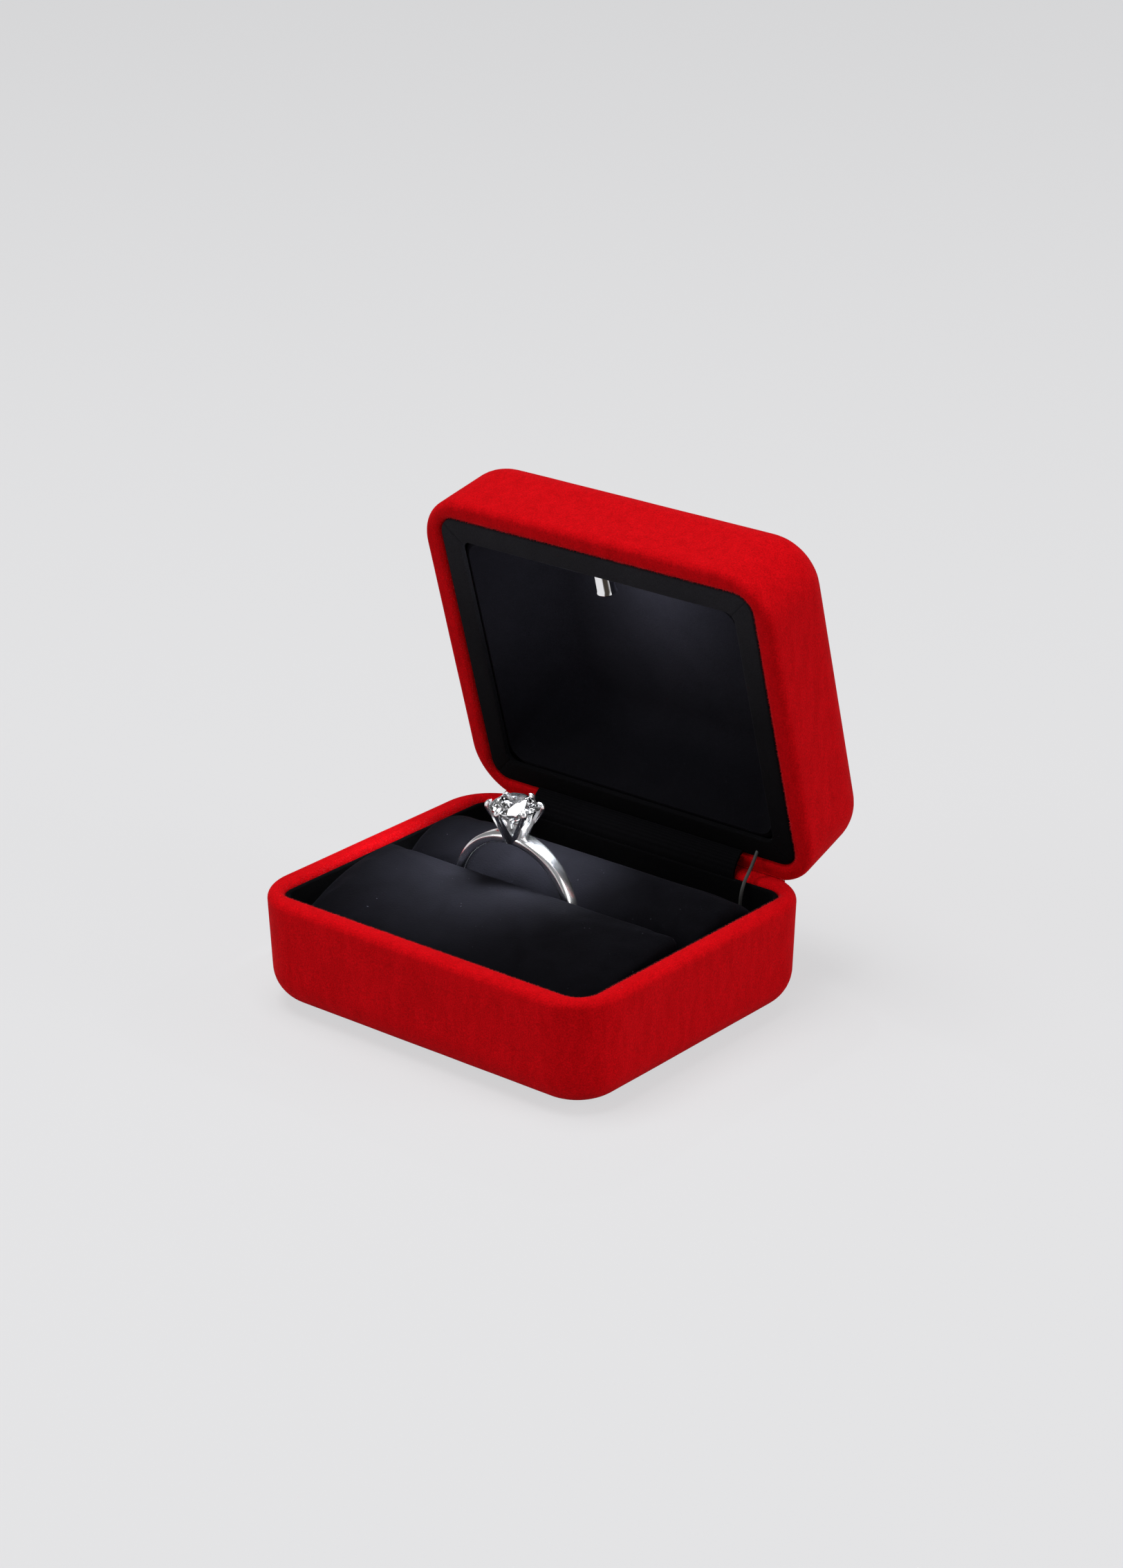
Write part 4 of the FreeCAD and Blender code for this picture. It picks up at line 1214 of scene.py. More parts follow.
    def fringe(self, half: Half) -> Object:
        """Build and dress the fibres of one half.

        Args:
            half: which half they are on.

        Returns:
            The piece.
        """
        chance = random.Random(self.seed)
        rear_y = PLAN.half_d - PLAN.rim_w - self.rear_clear
        grown = [one for one in self.around_mouth(chance) if one[0].y * half.value < rear_y]
        fibres = [self.fibre(*one, chance) for one in [*grown, *self.beside_hinge(half, chance)]]
        spike = ((0, 2, 1), (0, 1, 3), (1, 2, 3), (2, 0, 3))
        block = ((0, 1, 2, 3), (4, 5, 6, 7), (0, 1, 5, 4), (1, 2, 6, 5), (2, 3, 7, 6), (3, 0, 4, 7))
        points: list[Vector] = []
        faces: list[tuple[int, ...]] = []
        for solids, sides in ((fibres, spike), (self.strips(half), block)):
            for corners in solids:
                start = len(points)
                points.extend(corners)
                faces.extend(tuple(start + index for index in side) for side in sides)
        name = "rim_pile_" + half.body.value
        mesh = bpy.data.meshes.new(name)
        mesh.from_pydata([point * MM for point in points], [], faces)
        piece = Workpiece.adopt(name, mesh)
        piece.edit()
        piece.face_out()
        piece.place(VelvetHalves.seat(half))
        # the fibres get the paler red, a painted highlight; the strips beside the hinge keep the plain red velvet
        hand_over(piece, RED_PILE_PAINTED_HIGHLIGHT, half.body)
        Palette.dress_from(piece.obj, RED_VELVET, len(spike) * len(grown))
        return piece.obj

    def build(self) -> list[Object]:
        """Make both fringes."""
        return [self.fringe(Half.BASE), self.fringe(Half.LID)]


@dataclass
class PaddedSlot:
    """The two stuffed pads that hold the ring between them."""

    scale: float = 16.0
    voxel: float = 0.5
    shrink: float = 0.12
    swell_cap: float = 0.24
    pressure: float = 3.0
    frames: int = 20
    held_share: float = 0.3
    end_drop: float = 1.8
    end_fill: float = 0.65
    end_from: float = 0.7
    end_top: float = 17.6
    bending: float = 2.0

    def blank(self, node: str, name: str) -> Workpiece:
        """Copy of a pad's solid, merged and enlarged for the simulation.

        Args:
            node: the CAD node.
            name: the piece's name.

        Returns:
            The piece.
        """
        piece = Workpiece.adopt(name, frame["nodes"][node].data.copy())
        piece.edit()
        piece.merge(SLACK)
        piece.place(Matrix.Scale(self.scale, 4) @ Matrix.Translation(-self.middle(node)))
        piece.apply("REMESH", mode="VOXEL", voxel_size=self.voxel * MM * self.scale)
        piece.edit()
        piece.pick_all()
        bpy.ops.transform.shrink_fatten(value=-self.shrink * MM * self.scale)
        piece.rest()
        return piece

    def fill_ends(self, piece: Workpiece, node: str) -> None:
        """Raise the pad's drooping ends, so that the stuffing reaches the box's sides but not the closed lid.

        Args:
            piece: the enlarged blank.
            node: the CAD node that it stands for.
        """
        points = piece.obj.data.vertices
        reach = max(abs(point.co.x) for point in points)
        low = min(point.co.z for point in points)
        high = max(point.co.z for point in points)
        ceiling = (self.end_top * MM - self.middle(node).z) * self.scale
        for point in points:
            share = max(0.0, abs(point.co.x) / reach - self.end_from) / (1.0 - self.end_from)
            lift = self.end_fill * self.end_drop * share**3 * (point.co.z - low) / (high - low)
            point.co.z = max(point.co.z, min(point.co.z + lift * MM * self.scale, ceiling))

    @staticmethod
    def middle(node: str) -> Vector:
        """Middle of a node's box, in metres."""
        low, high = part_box(node)
        return (low + high) / 2

    def stuff(self, piece: Workpiece) -> None:
        """Swell the blank with a short cloth simulation.

        Args:
            piece: the enlarged blank.
        """
        obj = piece.obj
        before = [point.co.copy() for point in obj.data.vertices]
        low = min(point.z for point in before)
        high = max(point.z for point in before)
        held = obj.vertex_groups.new(name="held")
        level = low + (high - low) * self.held_share
        held.add([index for index, point in enumerate(before) if point.z < level], 1.0, "REPLACE")
        cloth = obj.modifiers.new("stuffing", "CLOTH")
        cloth.settings.use_pressure = True
        cloth.settings.uniform_pressure_force = self.pressure
        cloth.settings.effector_weights.gravity = 0.0
        cloth.settings.vertex_group_mass = "held"
        cloth.settings.bending_stiffness = self.bending
        cloth.point_cache.frame_start = 1
        cloth.point_cache.frame_end = self.frames
        for number in range(1, self.frames + 1):
            bpy.context.scene.frame_set(number)
        bpy.ops.object.modifier_apply(modifier=cloth.name)
        bpy.context.scene.frame_set(1)
        cap = self.swell_cap * MM * self.scale
        for point, start in zip(obj.data.vertices, before):
            move = point.co - start
            if move.length > cap:
                point.co = start + move * (cap / move.length)
        obj.vertex_groups.clear()

    def pad(self, node: str) -> Object:
        """Build and dress one pad.

        Args:
            node: the CAD node that it stands for.

        Returns:
            The piece.
        """
        piece = self.blank(node, "stuffed_" + node)
        self.fill_ends(piece, node)
        self.stuff(piece)
        piece.apply("SMOOTH", factor=0.5, iterations=4)
        piece.apply("SUBSURF", levels=1, render_levels=1)
        piece.place(Matrix.Translation(self.middle(node)) @ Matrix.Scale(1.0 / self.scale, 4))
        piece.smooth(80.0)
        hand_over(piece, BLACK_VELVET, Body.BASE, node)
        return piece.obj

    def build(self) -> list[Object]:
        """Make both pads."""
        return [self.pad("front_pad"), self.pad("rear_pad")]


@dataclass
class Linings:
    """Black flocked linings: the base's collar, and the lid's border and tray."""

    collar_t: float = 0.7
    collar_low: float = 8.0
    collar_drop: float = 0.7
    border_w: float = 3.4
    border_drop: float = 0.35
    border_t: float = 0.7
    border_soft: float = 0.28
    border_inner_r: float = 1.55
    mitre_w: float = 0.16
    mitre_depth: float = 0.12
    tray_in: float = 7.15
    tray_drop: float = 1.1
    tray_depth: float = 11.85
    tray_slope: float = 4.2
    tray_mouth_r: float = 2.6
    tray_floor_r: float = 6.5
    tray_round: float = 5.0
    tray_t: float = 0.8
    collar_round: float = 0.45
    round_steps: int = 5
    soft_steps: int = 4
    wall_steps: int = 6
    curve_steps: int = 10

    def finish(self, piece: Workpiece, node: str, body: Body, finish: Velvet = BLACK_FLOCK) -> Object:
        """Dress a lining and tie it to its body.

        Args:
            piece: the finished mesh.
            node: the CAD node that it stands for.
            body: the body that it rides on.
            finish: its flock.

        Returns:
            The piece.
        """
        piece.smooth(45.0)
        return hand_over(piece, finish, body, node)

    def collar(self) -> Object:
        """Collar inside the base's wall, with a rounded top edge."""
        top = PLAN.base_h - self.collar_drop
        round_r = self.collar_t * self.collar_round
        piece = Workpiece.plate("flocked_base_liner", *PLAN.mouth(PLAN.lining_in, self.collar_low))
        piece.extrude((0, 0, top - round_r - self.collar_low))
        piece.face_out()
        piece.pick_faces(lambda middle, normal: normal.z > 0.9)
        piece.follow(quarter_up(round_r, self.round_steps))
        piece.follow([(self.collar_t - 2 * round_r, 0.0)])
        piece.follow(quarter_down(round_r, self.round_steps))
        piece.follow([(0.0, self.collar_low - top + round_r)])
        bpy.ops.mesh.delete(type="FACE")
        piece.pick_faces(lambda middle, normal: normal.z < -0.9)
        piece.follow([(self.collar_t, 0.0)])
        bpy.ops.mesh.delete(type="FACE")
        piece.weld()
        return self.finish(piece, "base_liner", Body.BASE)

    def border_profile(self, level: float) -> list[Step]:
        """Half section of the border: (inset, level) points from its outer back edge to its inner one.

        Args:
            level: its visible face.

        Returns:
            The points, no two of them on the same level.
        """
        soft = self.border_soft
        outer, inner = PLAN.lining_in, PLAN.lining_in + self.border_w
        middle = (outer + inner) / 2
        turns = [math.pi / 2 * index / self.soft_steps for index in range(self.soft_steps + 1)]
        rise = [(outer + soft * (1 - math.cos(turn)), level + soft * (1 - math.sin(turn))) for turn in turns]
        fall = [(inner - soft * (1 - math.sin(turn)), level + soft * (1 - math.cos(turn)) + 0.006) for turn in turns]
        crown = [(middle - 0.8, level - 0.03), (middle, level - 0.04), (middle + 0.8, level - 0.024)]
        back = level + self.border_t
        return [(outer, back), *rise, *crown, *fall, (inner, back - 0.004)]

    def border(self) -> Object:
        """Flat frame inside the lid's rim, with soft edges and mitred corners."""
        level = PLAN.lid_z + self.border_drop
        outer_r = PLAN.mouth_r + PLAN.rim_w - PLAN.lining_in
        sections = []
        for inset, z in self.border_profile(level):
            share = (inset - PLAN.lining_in) / self.border_w
            sections.append(PLAN.section(inset, z, outer_r + (self.border_inner_r - outer_r) * share))
        piece = Workpiece.loft("flocked_lid_border", sections)
        back = level + self.border_t
        piece.pick_edges(lambda start, end: min(start.z, end.z) > back - 0.006 and abs(start.z - end.z) < SLACK)
        bpy.ops.mesh.bridge_edge_loops()
        piece.weld()
        self.mitre(piece, level)
        piece.place(PLAN.opening)
        return self.finish(piece, "lid_border", Body.LID)

    def mitre(self, piece: Workpiece, level: float) -> None:
        """Fold lines across the border's four corners.

        Args:
            piece: the closed border, in edit mode.
            level: its visible face.
        """
        inset = PLAN.lining_in
        for side_x in (-1, 1):
            for side_y in (-1, 1):
                corner = Vector((side_x * (PLAN.half_w - inset), side_y * (PLAN.half_d - inset), 0))
                across = Vector((-side_y, side_x, 0)).normalized()
                for offset in (-self.mitre_w, 0.0, self.mitre_w):
                    piece.slice(corner + across * offset, across)

                def on_fold(point: Vector) -> bool:
                    """True for points on the fold's middle line, on the visible side."""
                    near = abs((point - corner).dot(across)) < 0.01
                    same = point.x * side_x > 0 and point.y * side_y > 0
                    return near and same and point.z < level + 0.3

                piece.pick_points(on_fold)
                piece.shift((0, 0, self.mitre_depth))

    def tray(self) -> Object:
        """Tray with sloping sides and a flat panel that lines the lid."""
        low = PLAN.lid_z + self.tray_drop
        lean = math.atan2(self.tray_slope, self.tray_depth)
        turn = math.pi / 2 - lean
        tangent = self.tray_round * math.tan(turn / 2)
        profile = [(0.0, 0.0, 0.0)]
        start = self.tray_depth - tangent * math.cos(lean)
        for index in range(1, self.wall_steps + 1):
            depth = start * index / self.wall_steps
            profile.append((depth, depth * math.tan(lean), 0.0))
        for index in range(1, self.curve_steps + 1):
            angle = lean + turn * index / self.curve_steps
            depth = start + self.tray_round * (math.sin(angle) - math.sin(lean))
            inset = start * math.tan(lean) + self.tray_round * (math.cos(lean) - math.cos(angle))
            profile.append((depth, inset, max(0.0, inset - depth * math.tan(lean))))
        sections = []
        for depth, inset, extra in profile:
            radius = self.tray_mouth_r + (self.tray_floor_r - self.tray_mouth_r) * depth / self.tray_depth - extra
            painted_band_pitch_and_inset = self.tray_in + inset
            sections.append((PLAN.half_w - painted_band_pitch_and_inset, PLAN.half_d - painted_band_pitch_and_inset, radius, low + depth))
        piece = Workpiece.loft("flocked_lid_tray", sections)
        top = sections[-1][3]
        piece.pick_edges(lambda start, end: min(start.z, end.z) > top - SLACK)
        bpy.ops.mesh.edge_face_add()
        piece.face_out()
        piece.apply("SOLIDIFY", thickness=self.tray_t * MM, offset=1.0, use_even_offset=True)
        piece.place(PLAN.opening)
        return self.finish(piece, "lid_tray", Body.LID, BLACK_PANEL)

    def build(self) -> list[Object]:
        """Make the three linings."""
        return [self.collar(), self.border(), self.tray()]


@dataclass
class HingeCloth:
    """The ribbon that hides the hinge and the lead that crosses it."""

    ribbon_half: float = 18.6
    ribbon_t: float = 0.4
    ribbon_bulge: float = 0.5
    lead_r: float = 0.25
    lead_x: float = 21.0
    lead_y: float = 20.5
    lead_drop: float = 3.4
    entry_y: float = 20.85
    entry_depth: float = 1.9
    ribbon_foot: Step = (22.05, -0.65)
    ribbon_head: Step = (21.9, 0.1)
    ribbon_cuts: int = 35
    ribbon_steps: int = 16
    lead_rise: Point = (0, 0.1, 2.3)
    lead_slack: Point = (0.15, 0, 0.2)
    lead_straight: float = 0.9

    def ribbon(self) -> Object:
        """Ribbon from the base's collar to the lid's border."""
        low = Vector((0, self.ribbon_foot[0], PLAN.base_h + self.ribbon_foot[1]))
        high = PLAN.opened(self.ribbon_head[0], PLAN.lid_z + self.ribbon_head[1])
        chord = high - low
        reach = chord.length / 2
        radius = (reach * reach + self.ribbon_bulge**2) / (2 * self.ribbon_bulge)
        outward = Vector((0, -chord.z, chord.y)).normalized()
        centre = (low + high) / 2 - outward * (radius - self.ribbon_bulge)
        sweep = 2 * math.asin(reach / radius)
        piece = Workpiece.line("ribbon_hinge", [(side * self.ribbon_half, low.y, low.z) for side in (-1, 1)])
        piece.pick_all()
        bpy.ops.mesh.subdivide(number_cuts=self.ribbon_cuts)
        piece.pick_all()
        bpy.ops.mesh.spin(steps=self.ribbon_steps, angle=sweep, center=centre * MM, axis=(1, 0, 0))
        piece.merge()
        piece.apply("SOLIDIFY", thickness=self.ribbon_t * MM, offset=0.0)
        piece.edit()
        piece.weld()
        piece.smooth(60.0)
        hand_over(piece, RIBBON, node="hinge_ribbon")
        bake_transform(piece.obj)
        return piece.obj

    def lead(self) -> Object:
        """Free stretch of lead on one smooth line, out of the pad's rear and into the lid."""
        start = Vector((self.lead_x, self.lead_y, PLAN.base_h - self.lead_drop))
        end = PLAN.opened(self.entry_y, PLAN.lid_z + self.entry_depth)
        end.x = self.lead_x
        turn = math.radians(PLAN.open_degrees)
        inward = Vector((0, math.sin(turn), math.cos(turn)))
        bend = start + Vector(self.lead_rise)
        middle = (bend + end) / 2 + Vector(self.lead_slack)
        points = [start, bend, middle, end - inward * self.lead_straight, end]
        curve = bpy.data.curves.new("lead_line", "CURVE")
        curve.dimensions = "3D"
        curve.bevel_depth = self.lead_r * MM
        curve.bevel_resolution = 5
        curve.use_fill_caps = True
        spline = curve.splines.new("NURBS")
        spline.points.add(len(points) - 1)
        for point, place in zip(spline.points, points):
            point.co = (*(place * MM), 1.0)
        spline.order_u = 3
        spline.use_endpoint_u = True
        spline.resolution_u = 12
        Workpiece.adopt("lead_at_hinge", curve)
        bpy.ops.object.convert(target="MESH")
        piece = Workpiece("lead_at_hinge")
        piece.edit()
        piece.weld()
        piece.smooth(60.0)
        hand_over(piece, LEAD, node="hinge_lead")
        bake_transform(piece.obj)
        return piece.obj

    def build(self) -> list[Object]:
        """Make the ribbon and the lead."""
        return [self.ribbon(), self.lead()]


@dataclass
class LidLamp:
    """The lit lamp and its bright sleeve at the lid's front."""

    back_y: float = -20.1
    front_y: float = -15.35
    depth: float = 2.6
    sleeve_r: float = 1.4
    bore_r: float = 1.05
    lip_r: float = 1.5
    lip_t: float = 0.45
    lens_r: float = 1.0
    flange_r: float = 1.3
    tip_y: float = -15.4
    glow_watts: float = 1.6
    glow_degrees: float = 42.0
    glow_soft: float = 13.0
    glow_ahead: float = 5.0
    glow_down: float = 6.0
    glow_aim: Point = (-7.0, 2.0, 18.0)
    spill_watts: float = 0.014
    spill_down: float = 3.0
    spill_depth: float = 3.2
    tint: Colour = (0.88, 0.93, 1.0)
    ease: float = 0.14
    turn_steps: int = 56
    nose_steps: int = 12

    def turned(self, name: str, outline: Sequence[Step]) -> Workpiece:
        """Round piece about the lamp's axis.

        Args:
            name: the piece's name.
            outline: (radius, y) points of its half section.

        Returns:
            The piece in place on the open lid.
        """
        piece = Workpiece.line(name, [(radius, y, 0) for radius, y in outline])
        piece.spin((0, 1, 0), self.turn_steps)
        piece.place(PLAN.opening @ Matrix.Translation((0, 0, (PLAN.lid_z + self.depth) * MM)))
        return piece

    def sleeve(self) -> Object:
        """Chrome sleeve with a rolled lip."""
        lip_y = self.front_y - self.lip_t
        ease = self.ease
        outline = [
            (self.bore_r, self.back_y), (self.sleeve_r - ease, self.back_y), (self.sleeve_r, self.back_y + ease),
            (self.sleeve_r, lip_y - ease), (self.sleeve_r + 0.05, lip_y - 0.04), (self.lip_r - 0.05, lip_y + 0.03),
            (self.lip_r, lip_y + ease), (self.lip_r, self.front_y - ease), (self.lip_r - ease, self.front_y),
            (self.bore_r + ease, self.front_y), (self.bore_r, self.front_y - ease), (self.bore_r, self.back_y),
        ]
        piece = self.turned("chrome_lamp_bezel", outline)
        piece.smooth(35.0)
        return hand_over(piece, SLEEVE, Body.LID, "lamp_bezel")

    def lens(self) -> Object:
        """Round-nosed lens with a flange at its back."""
        nose_y = self.tip_y - self.lens_r
        flange_r = self.flange_r
        back = self.back_y - 0.85
        arc = [math.pi / 2 * index / self.nose_steps for index in range(self.nose_steps)]
        nose = [(self.lens_r * math.cos(angle), nose_y + self.lens_r * math.sin(angle)) for angle in arc]
        outline = [
            (0.0, back), (flange_r - 0.1, back), (flange_r, back + 0.1), (flange_r, back + 0.7),
            (flange_r - 0.1, back + 0.8), (self.lens_r, back + 0.8), *nose, (0.0, self.tip_y),
        ]
        piece = self.turned("clear_lamp_bulb", outline)
        piece.smooth(40.0)
        return hand_over(piece, LENS, Body.LID, "lamp_bulb")

    def carry(self, name: str, light: bpy.types.Light, place: Vector, aim: Vector) -> None:
        """Hang a light in the lid.

        Args:
            name: the light's name.
            light: the light.
            place: where it is.
            aim: the point that it faces.
        """
        light.color = self.tint
        lamp = bpy.data.objects.new(name, light)
        bpy.context.scene.collection.objects.link(lamp)
        facing = (aim - place).to_track_quat("-Z", "Y").to_matrix().to_4x4()
        lamp.matrix_world = Matrix.Translation(place * MM) @ facing
        lamp.parent = frame["bodies"][Body.LID.value]
        lamp.visible_camera = False

    def glow(self) -> None:
        """Narrow light on the ring and a little spill on the panel, carried by the lid."""
        beam = bpy.data.lights.new("lamp_glow", "SPOT")
        beam.energy = self.glow_watts
        beam.spot_size = math.radians(self.glow_degrees)
        beam.spot_blend = 1.0
        beam.shadow_soft_size = self.glow_soft * MM
        mouth = PLAN.opened(self.front_y + self.glow_down, PLAN.lid_z - self.glow_ahead)
        self.carry("lamp_glow", beam, mouth, Vector(self.glow_aim))
        spill = bpy.data.lights.new("lamp_spill", "POINT")
        spill.energy = self.spill_watts
        spill.shadow_soft_size = 1.0 * MM
        inside = PLAN.opened(self.front_y + self.spill_down, PLAN.lid_z + self.spill_depth)
        self.carry("lamp_spill", spill, inside, mouth)
        bpy.data.objects["lamp_spill"].visible_glossy = False

    def build(self) -> list[Object]:
        """Make the sleeve, the lens and the light."""
        made = [self.sleeve(), self.lens()]
        self.glow()
        return made


@dataclass
class SolitaireRing:
    """Polished band with a claw head and a cut stone."""

    x: float = -4.0
    y: float = 1.35
    z: float = 13.45
    outer_r: float = 11.0
    bore_r: float = 9.4
    band_w: float = 2.2
    shoulder: float = 0.3
    head_z: float = 23.15
    head_h: float = 4.9
    foot_r: float = 1.5
    top_r: float = 3.75
    claws: int = 6
    cup_t: float = 0.5
    window_w: float = 2.75
    window_foot: float = 0.28
    cup_foot: float = 0.2
    head_turn: float = 30.0
    stone_r: float = 3.6
    girdle_t: float = 0.2
    crown_h: float = 1.15
    pavilion_h: float = 2.82
    table: float = 0.57
    sides: int = 8
    bezel_r: float = 0.8
    bezel_h: float = 0.56
    lower_r: float = 0.3
    lower_h: float = 0.76
    band_steps: int = 144
    shoulder_steps: int = 24
    window_over: float = 1.0
    window_reach: float = 5.0

    @property
    def centre(self) -> Matrix:
        """Move from the ring's own axis to its place in the slot."""
        return Matrix.Translation(Vector((self.x, self.y, 0)) * MM)

    def band(self) -> Object:
        """Rounded band, spun from its section."""
        half_t = (self.outer_r - self.bore_r) / 2
        piece = Workpiece.plate("polished_ring_band", half_t, self.band_w / 2, half_t * 0.72, 0.0, steps=7)
        bpy.ops.mesh.delete(type="ONLY_FACE")
        piece.pick_all()
        piece.shift((self.bore_r + half_t, 0, 0))
        piece.spin((0, 1, 0), self.band_steps)
        reach = self.shoulder_steps + 1
        for step in range(1 - reach, reach):
            angle = math.pi / 2 + 2 * math.pi * step / self.band_steps

            def on_section(point: Vector, angle: float = angle) -> bool:
                """True for points of one section of the band."""
                return abs(math.atan2(point.z, point.x) - angle) < 0.01

            piece.pick_points(on_section)
            swell = self.shoulder * math.cos(math.pi / 2 * step / reach) ** 2
            piece.resize((1, 1 + swell, 1), (0, 0, 0))
        piece.place(self.centre @ Matrix.Translation((0, 0, self.z * MM)))
        piece.smooth(60.0)
        return hand_over(piece, RING_METAL, Body.RING, "ring_band")

    def claw(self) -> Workpiece:
        """One claw on the +X side: rises along the cone and bends over the stone."""
        spread = self.top_r - self.foot_r
        low = self.head_z + 0.5 * self.head_h
        top = self.head_z + self.head_h
        path = [
            (self.foot_r + 0.5 * spread - 0.15, low, 0.2), (self.top_r - 0.3, top - 0.8, 0.36),
            (self.top_r + 0.05, top - 0.15, 0.42), (self.top_r + 0.12, top + 0.35, 0.44),
            (self.top_r, top + 0.75, 0.43), (self.top_r - 0.2, top + 1.0, 0.36),
            (self.top_r - 0.34, top + 1.14, 0.24), (self.top_r - 0.42, top + 1.2, 0.1),
        ]
        Workpiece.clear_bench()
        start = path[0]
        bpy.ops.mesh.primitive_circle_add(
            vertices=16, radius=start[2] * MM, fill_type="NGON", location=(start[0] * MM, 0, start[1] * MM)
        )
        piece = Workpiece("ring_claw")
        piece.place(Matrix.Identity(4))
        piece.edit()
        piece.pick_all()
        for before, after in zip(path, path[1:]):
            piece.extrude((after[0] - before[0], 0, after[1] - before[1]))
            share = after[2] / before[2]
            piece.resize((share, share, share), (after[0], 0, after[1]))
        piece.weld()
        piece.apply("SUBSURF", levels=1, render_levels=1)
        return piece

    def cup(self) -> Workpiece:
        """Hollow cone with a pointed window between each pair of claws."""
        Workpiece.clear_bench()
        bpy.ops.mesh.primitive_cone_add(
            vertices=96, radius1=self.foot_r * MM, radius2=self.top_r * MM, depth=self.head_h * MM,
            location=(0, 0, (self.head_z + self.head_h / 2) * MM),
        )
        cup = Workpiece("claw_ring_head")
        cup.place(Matrix.Identity(4))
        cup.edit()
        top = self.head_z + self.head_h
        cup.pick_faces(lambda middle, normal: middle.z > top - 0.01)
        cup.follow([(self.cup_t, 0.0)])
        drop = self.head_h * (1 - self.cup_foot)
        cup.extrude((0, 0, -drop))
        share = 1 - drop * (self.top_r - self.foot_r) / self.head_h / (self.top_r - self.cup_t)
        cup.resize((share, share, 1), (0, 0, top - drop))
        cup.weld()
        cup.rest()
        apex = self.head_z + self.window_foot * self.head_h
        over = top + self.window_over
        half = self.window_w / 2 * (over - apex) / (top - apex)
        near = self.cup_t
        for index in range(self.claws):
            wedge = Workpiece.line("window", [(near, 0, apex), (near, half, over), (near, -half, over)])
            wedge.pick_all()
            bpy.ops.mesh.edge_face_add()
            wedge.extrude((self.window_reach, 0, 0))
            wedge.weld()
            wedge.place(Matrix.Rotation(2 * math.pi * (index + 0.5) / self.claws, 4, "Z"))
            cup.cut(wedge)
        cup.edit()
        cup.weld()
        cup.rest()
        return cup

    def head(self) -> Object:
        """Six claws on a pierced cup."""
        head = self.cup()
        first = self.claw()
        turns = [2 * math.pi * index / self.claws for index in range(1, self.claws)]
        others = [first.twin(Matrix.Rotation(turn, 4, "Z")) for turn in turns]
        head.take([first, *others])
        head.place(self.centre @ Matrix.Rotation(math.radians(self.head_turn), 4, "Z"))
        head.smooth(40.0)
        return hand_over(head, RING_METAL, Body.RING, "ring_head")

    def stone(self) -> Object:
        """Round brilliant: table, crown, girdle and pavilion facets."""
        low = self.head_z + self.head_h + self.girdle_t
        high = low + self.girdle_t
        points = [Vector((0, 0, low - self.pavilion_h))]
        step = math.pi / self.sides
        for index in range(2 * self.sides):
            ray = Vector((math.cos(index * step), math.sin(index * step), 0))
            points.append(ray * self.stone_r + Vector((0, 0, low)))
            points.append(ray * self.stone_r + Vector((0, 0, high)))
            if index % 2:
                points.append(ray * self.stone_r * self.bezel_r + Vector((0, 0, high + self.bezel_h * self.crown_h)))
                points.append(ray * self.stone_r * self.lower_r + Vector((0, 0, low - self.lower_h * self.pavilion_h)))
            else:
                points.append(ray * self.stone_r * self.table + Vector((0, 0, high + self.crown_h)))
        mesh = bpy.data.meshes.new("cut_ring_stone")
        mesh.from_pydata([point * MM for point in points], [], [])
        piece = Workpiece.adopt("cut_ring_stone", mesh)
        piece.edit()
        piece.pick_all()
        bpy.ops.mesh.convex_hull()
        piece.place(self.centre)
        return hand_over(piece, STONE, Body.RING, "ring_stone")

    def build(self) -> list[Object]:
        """Make the band, the head and the stone."""
        return [self.band(), self.head(), self.stone()]


@dataclass
class Underside:
    """Felt sheet under the base, open at the battery hatch."""

    inset: float = 5.85
    thick: float = 0.6
    edge_r: float = 0.12
    block_h: float = 4.0
    window: tuple[float, float, float, float] = (-12.9, 12.9, 4.6, 17.8)
    ear: tuple[float, float, float, float] = (0.0, 18.5, 7.8, 14.6)

    def cutter(self, name: str, span: tuple[float, float, float, float]) -> Workpiece:
        """Tall block over a window.

        Args:
            name: the block's name.
            span: its x and y limits.

        Returns:
            The block.
        """
        x0, x1, y0, y1 = span
        piece = Workpiece.plate(name, (x1 - x0) / 2, (y1 - y0) / 2, 0.3, -self.block_h / 2, steps=3)
        piece.pick_all()
        piece.shift(((x0 + x1) / 2, (y0 + y1) / 2, 0))
        piece.extrude((0, 0, self.block_h))
        piece.weld()
        piece.rest()
        return piece

    def build(self) -> list[Object]:
        """Make the felt sheet."""
        blocks = [self.cutter("hatch_opening", self.window), self.cutter("ear_opening", self.ear)]
        piece = Workpiece.plate("felt_bottom_sheet", *PLAN.section(self.inset, self.thick))
        piece.extrude((0, 0, self.edge_r - self.thick))
        piece.weld()
        piece.pick_faces(lambda middle, normal: normal.z < -0.9)
        piece.follow(quarter_up(self.edge_r, 3))
        for block in blocks:
            piece.cut(block)
        piece.smooth(35.0)
        hand_over(piece, FELT, Body.BASE, "bottom_sheet")
        return [piece.obj]


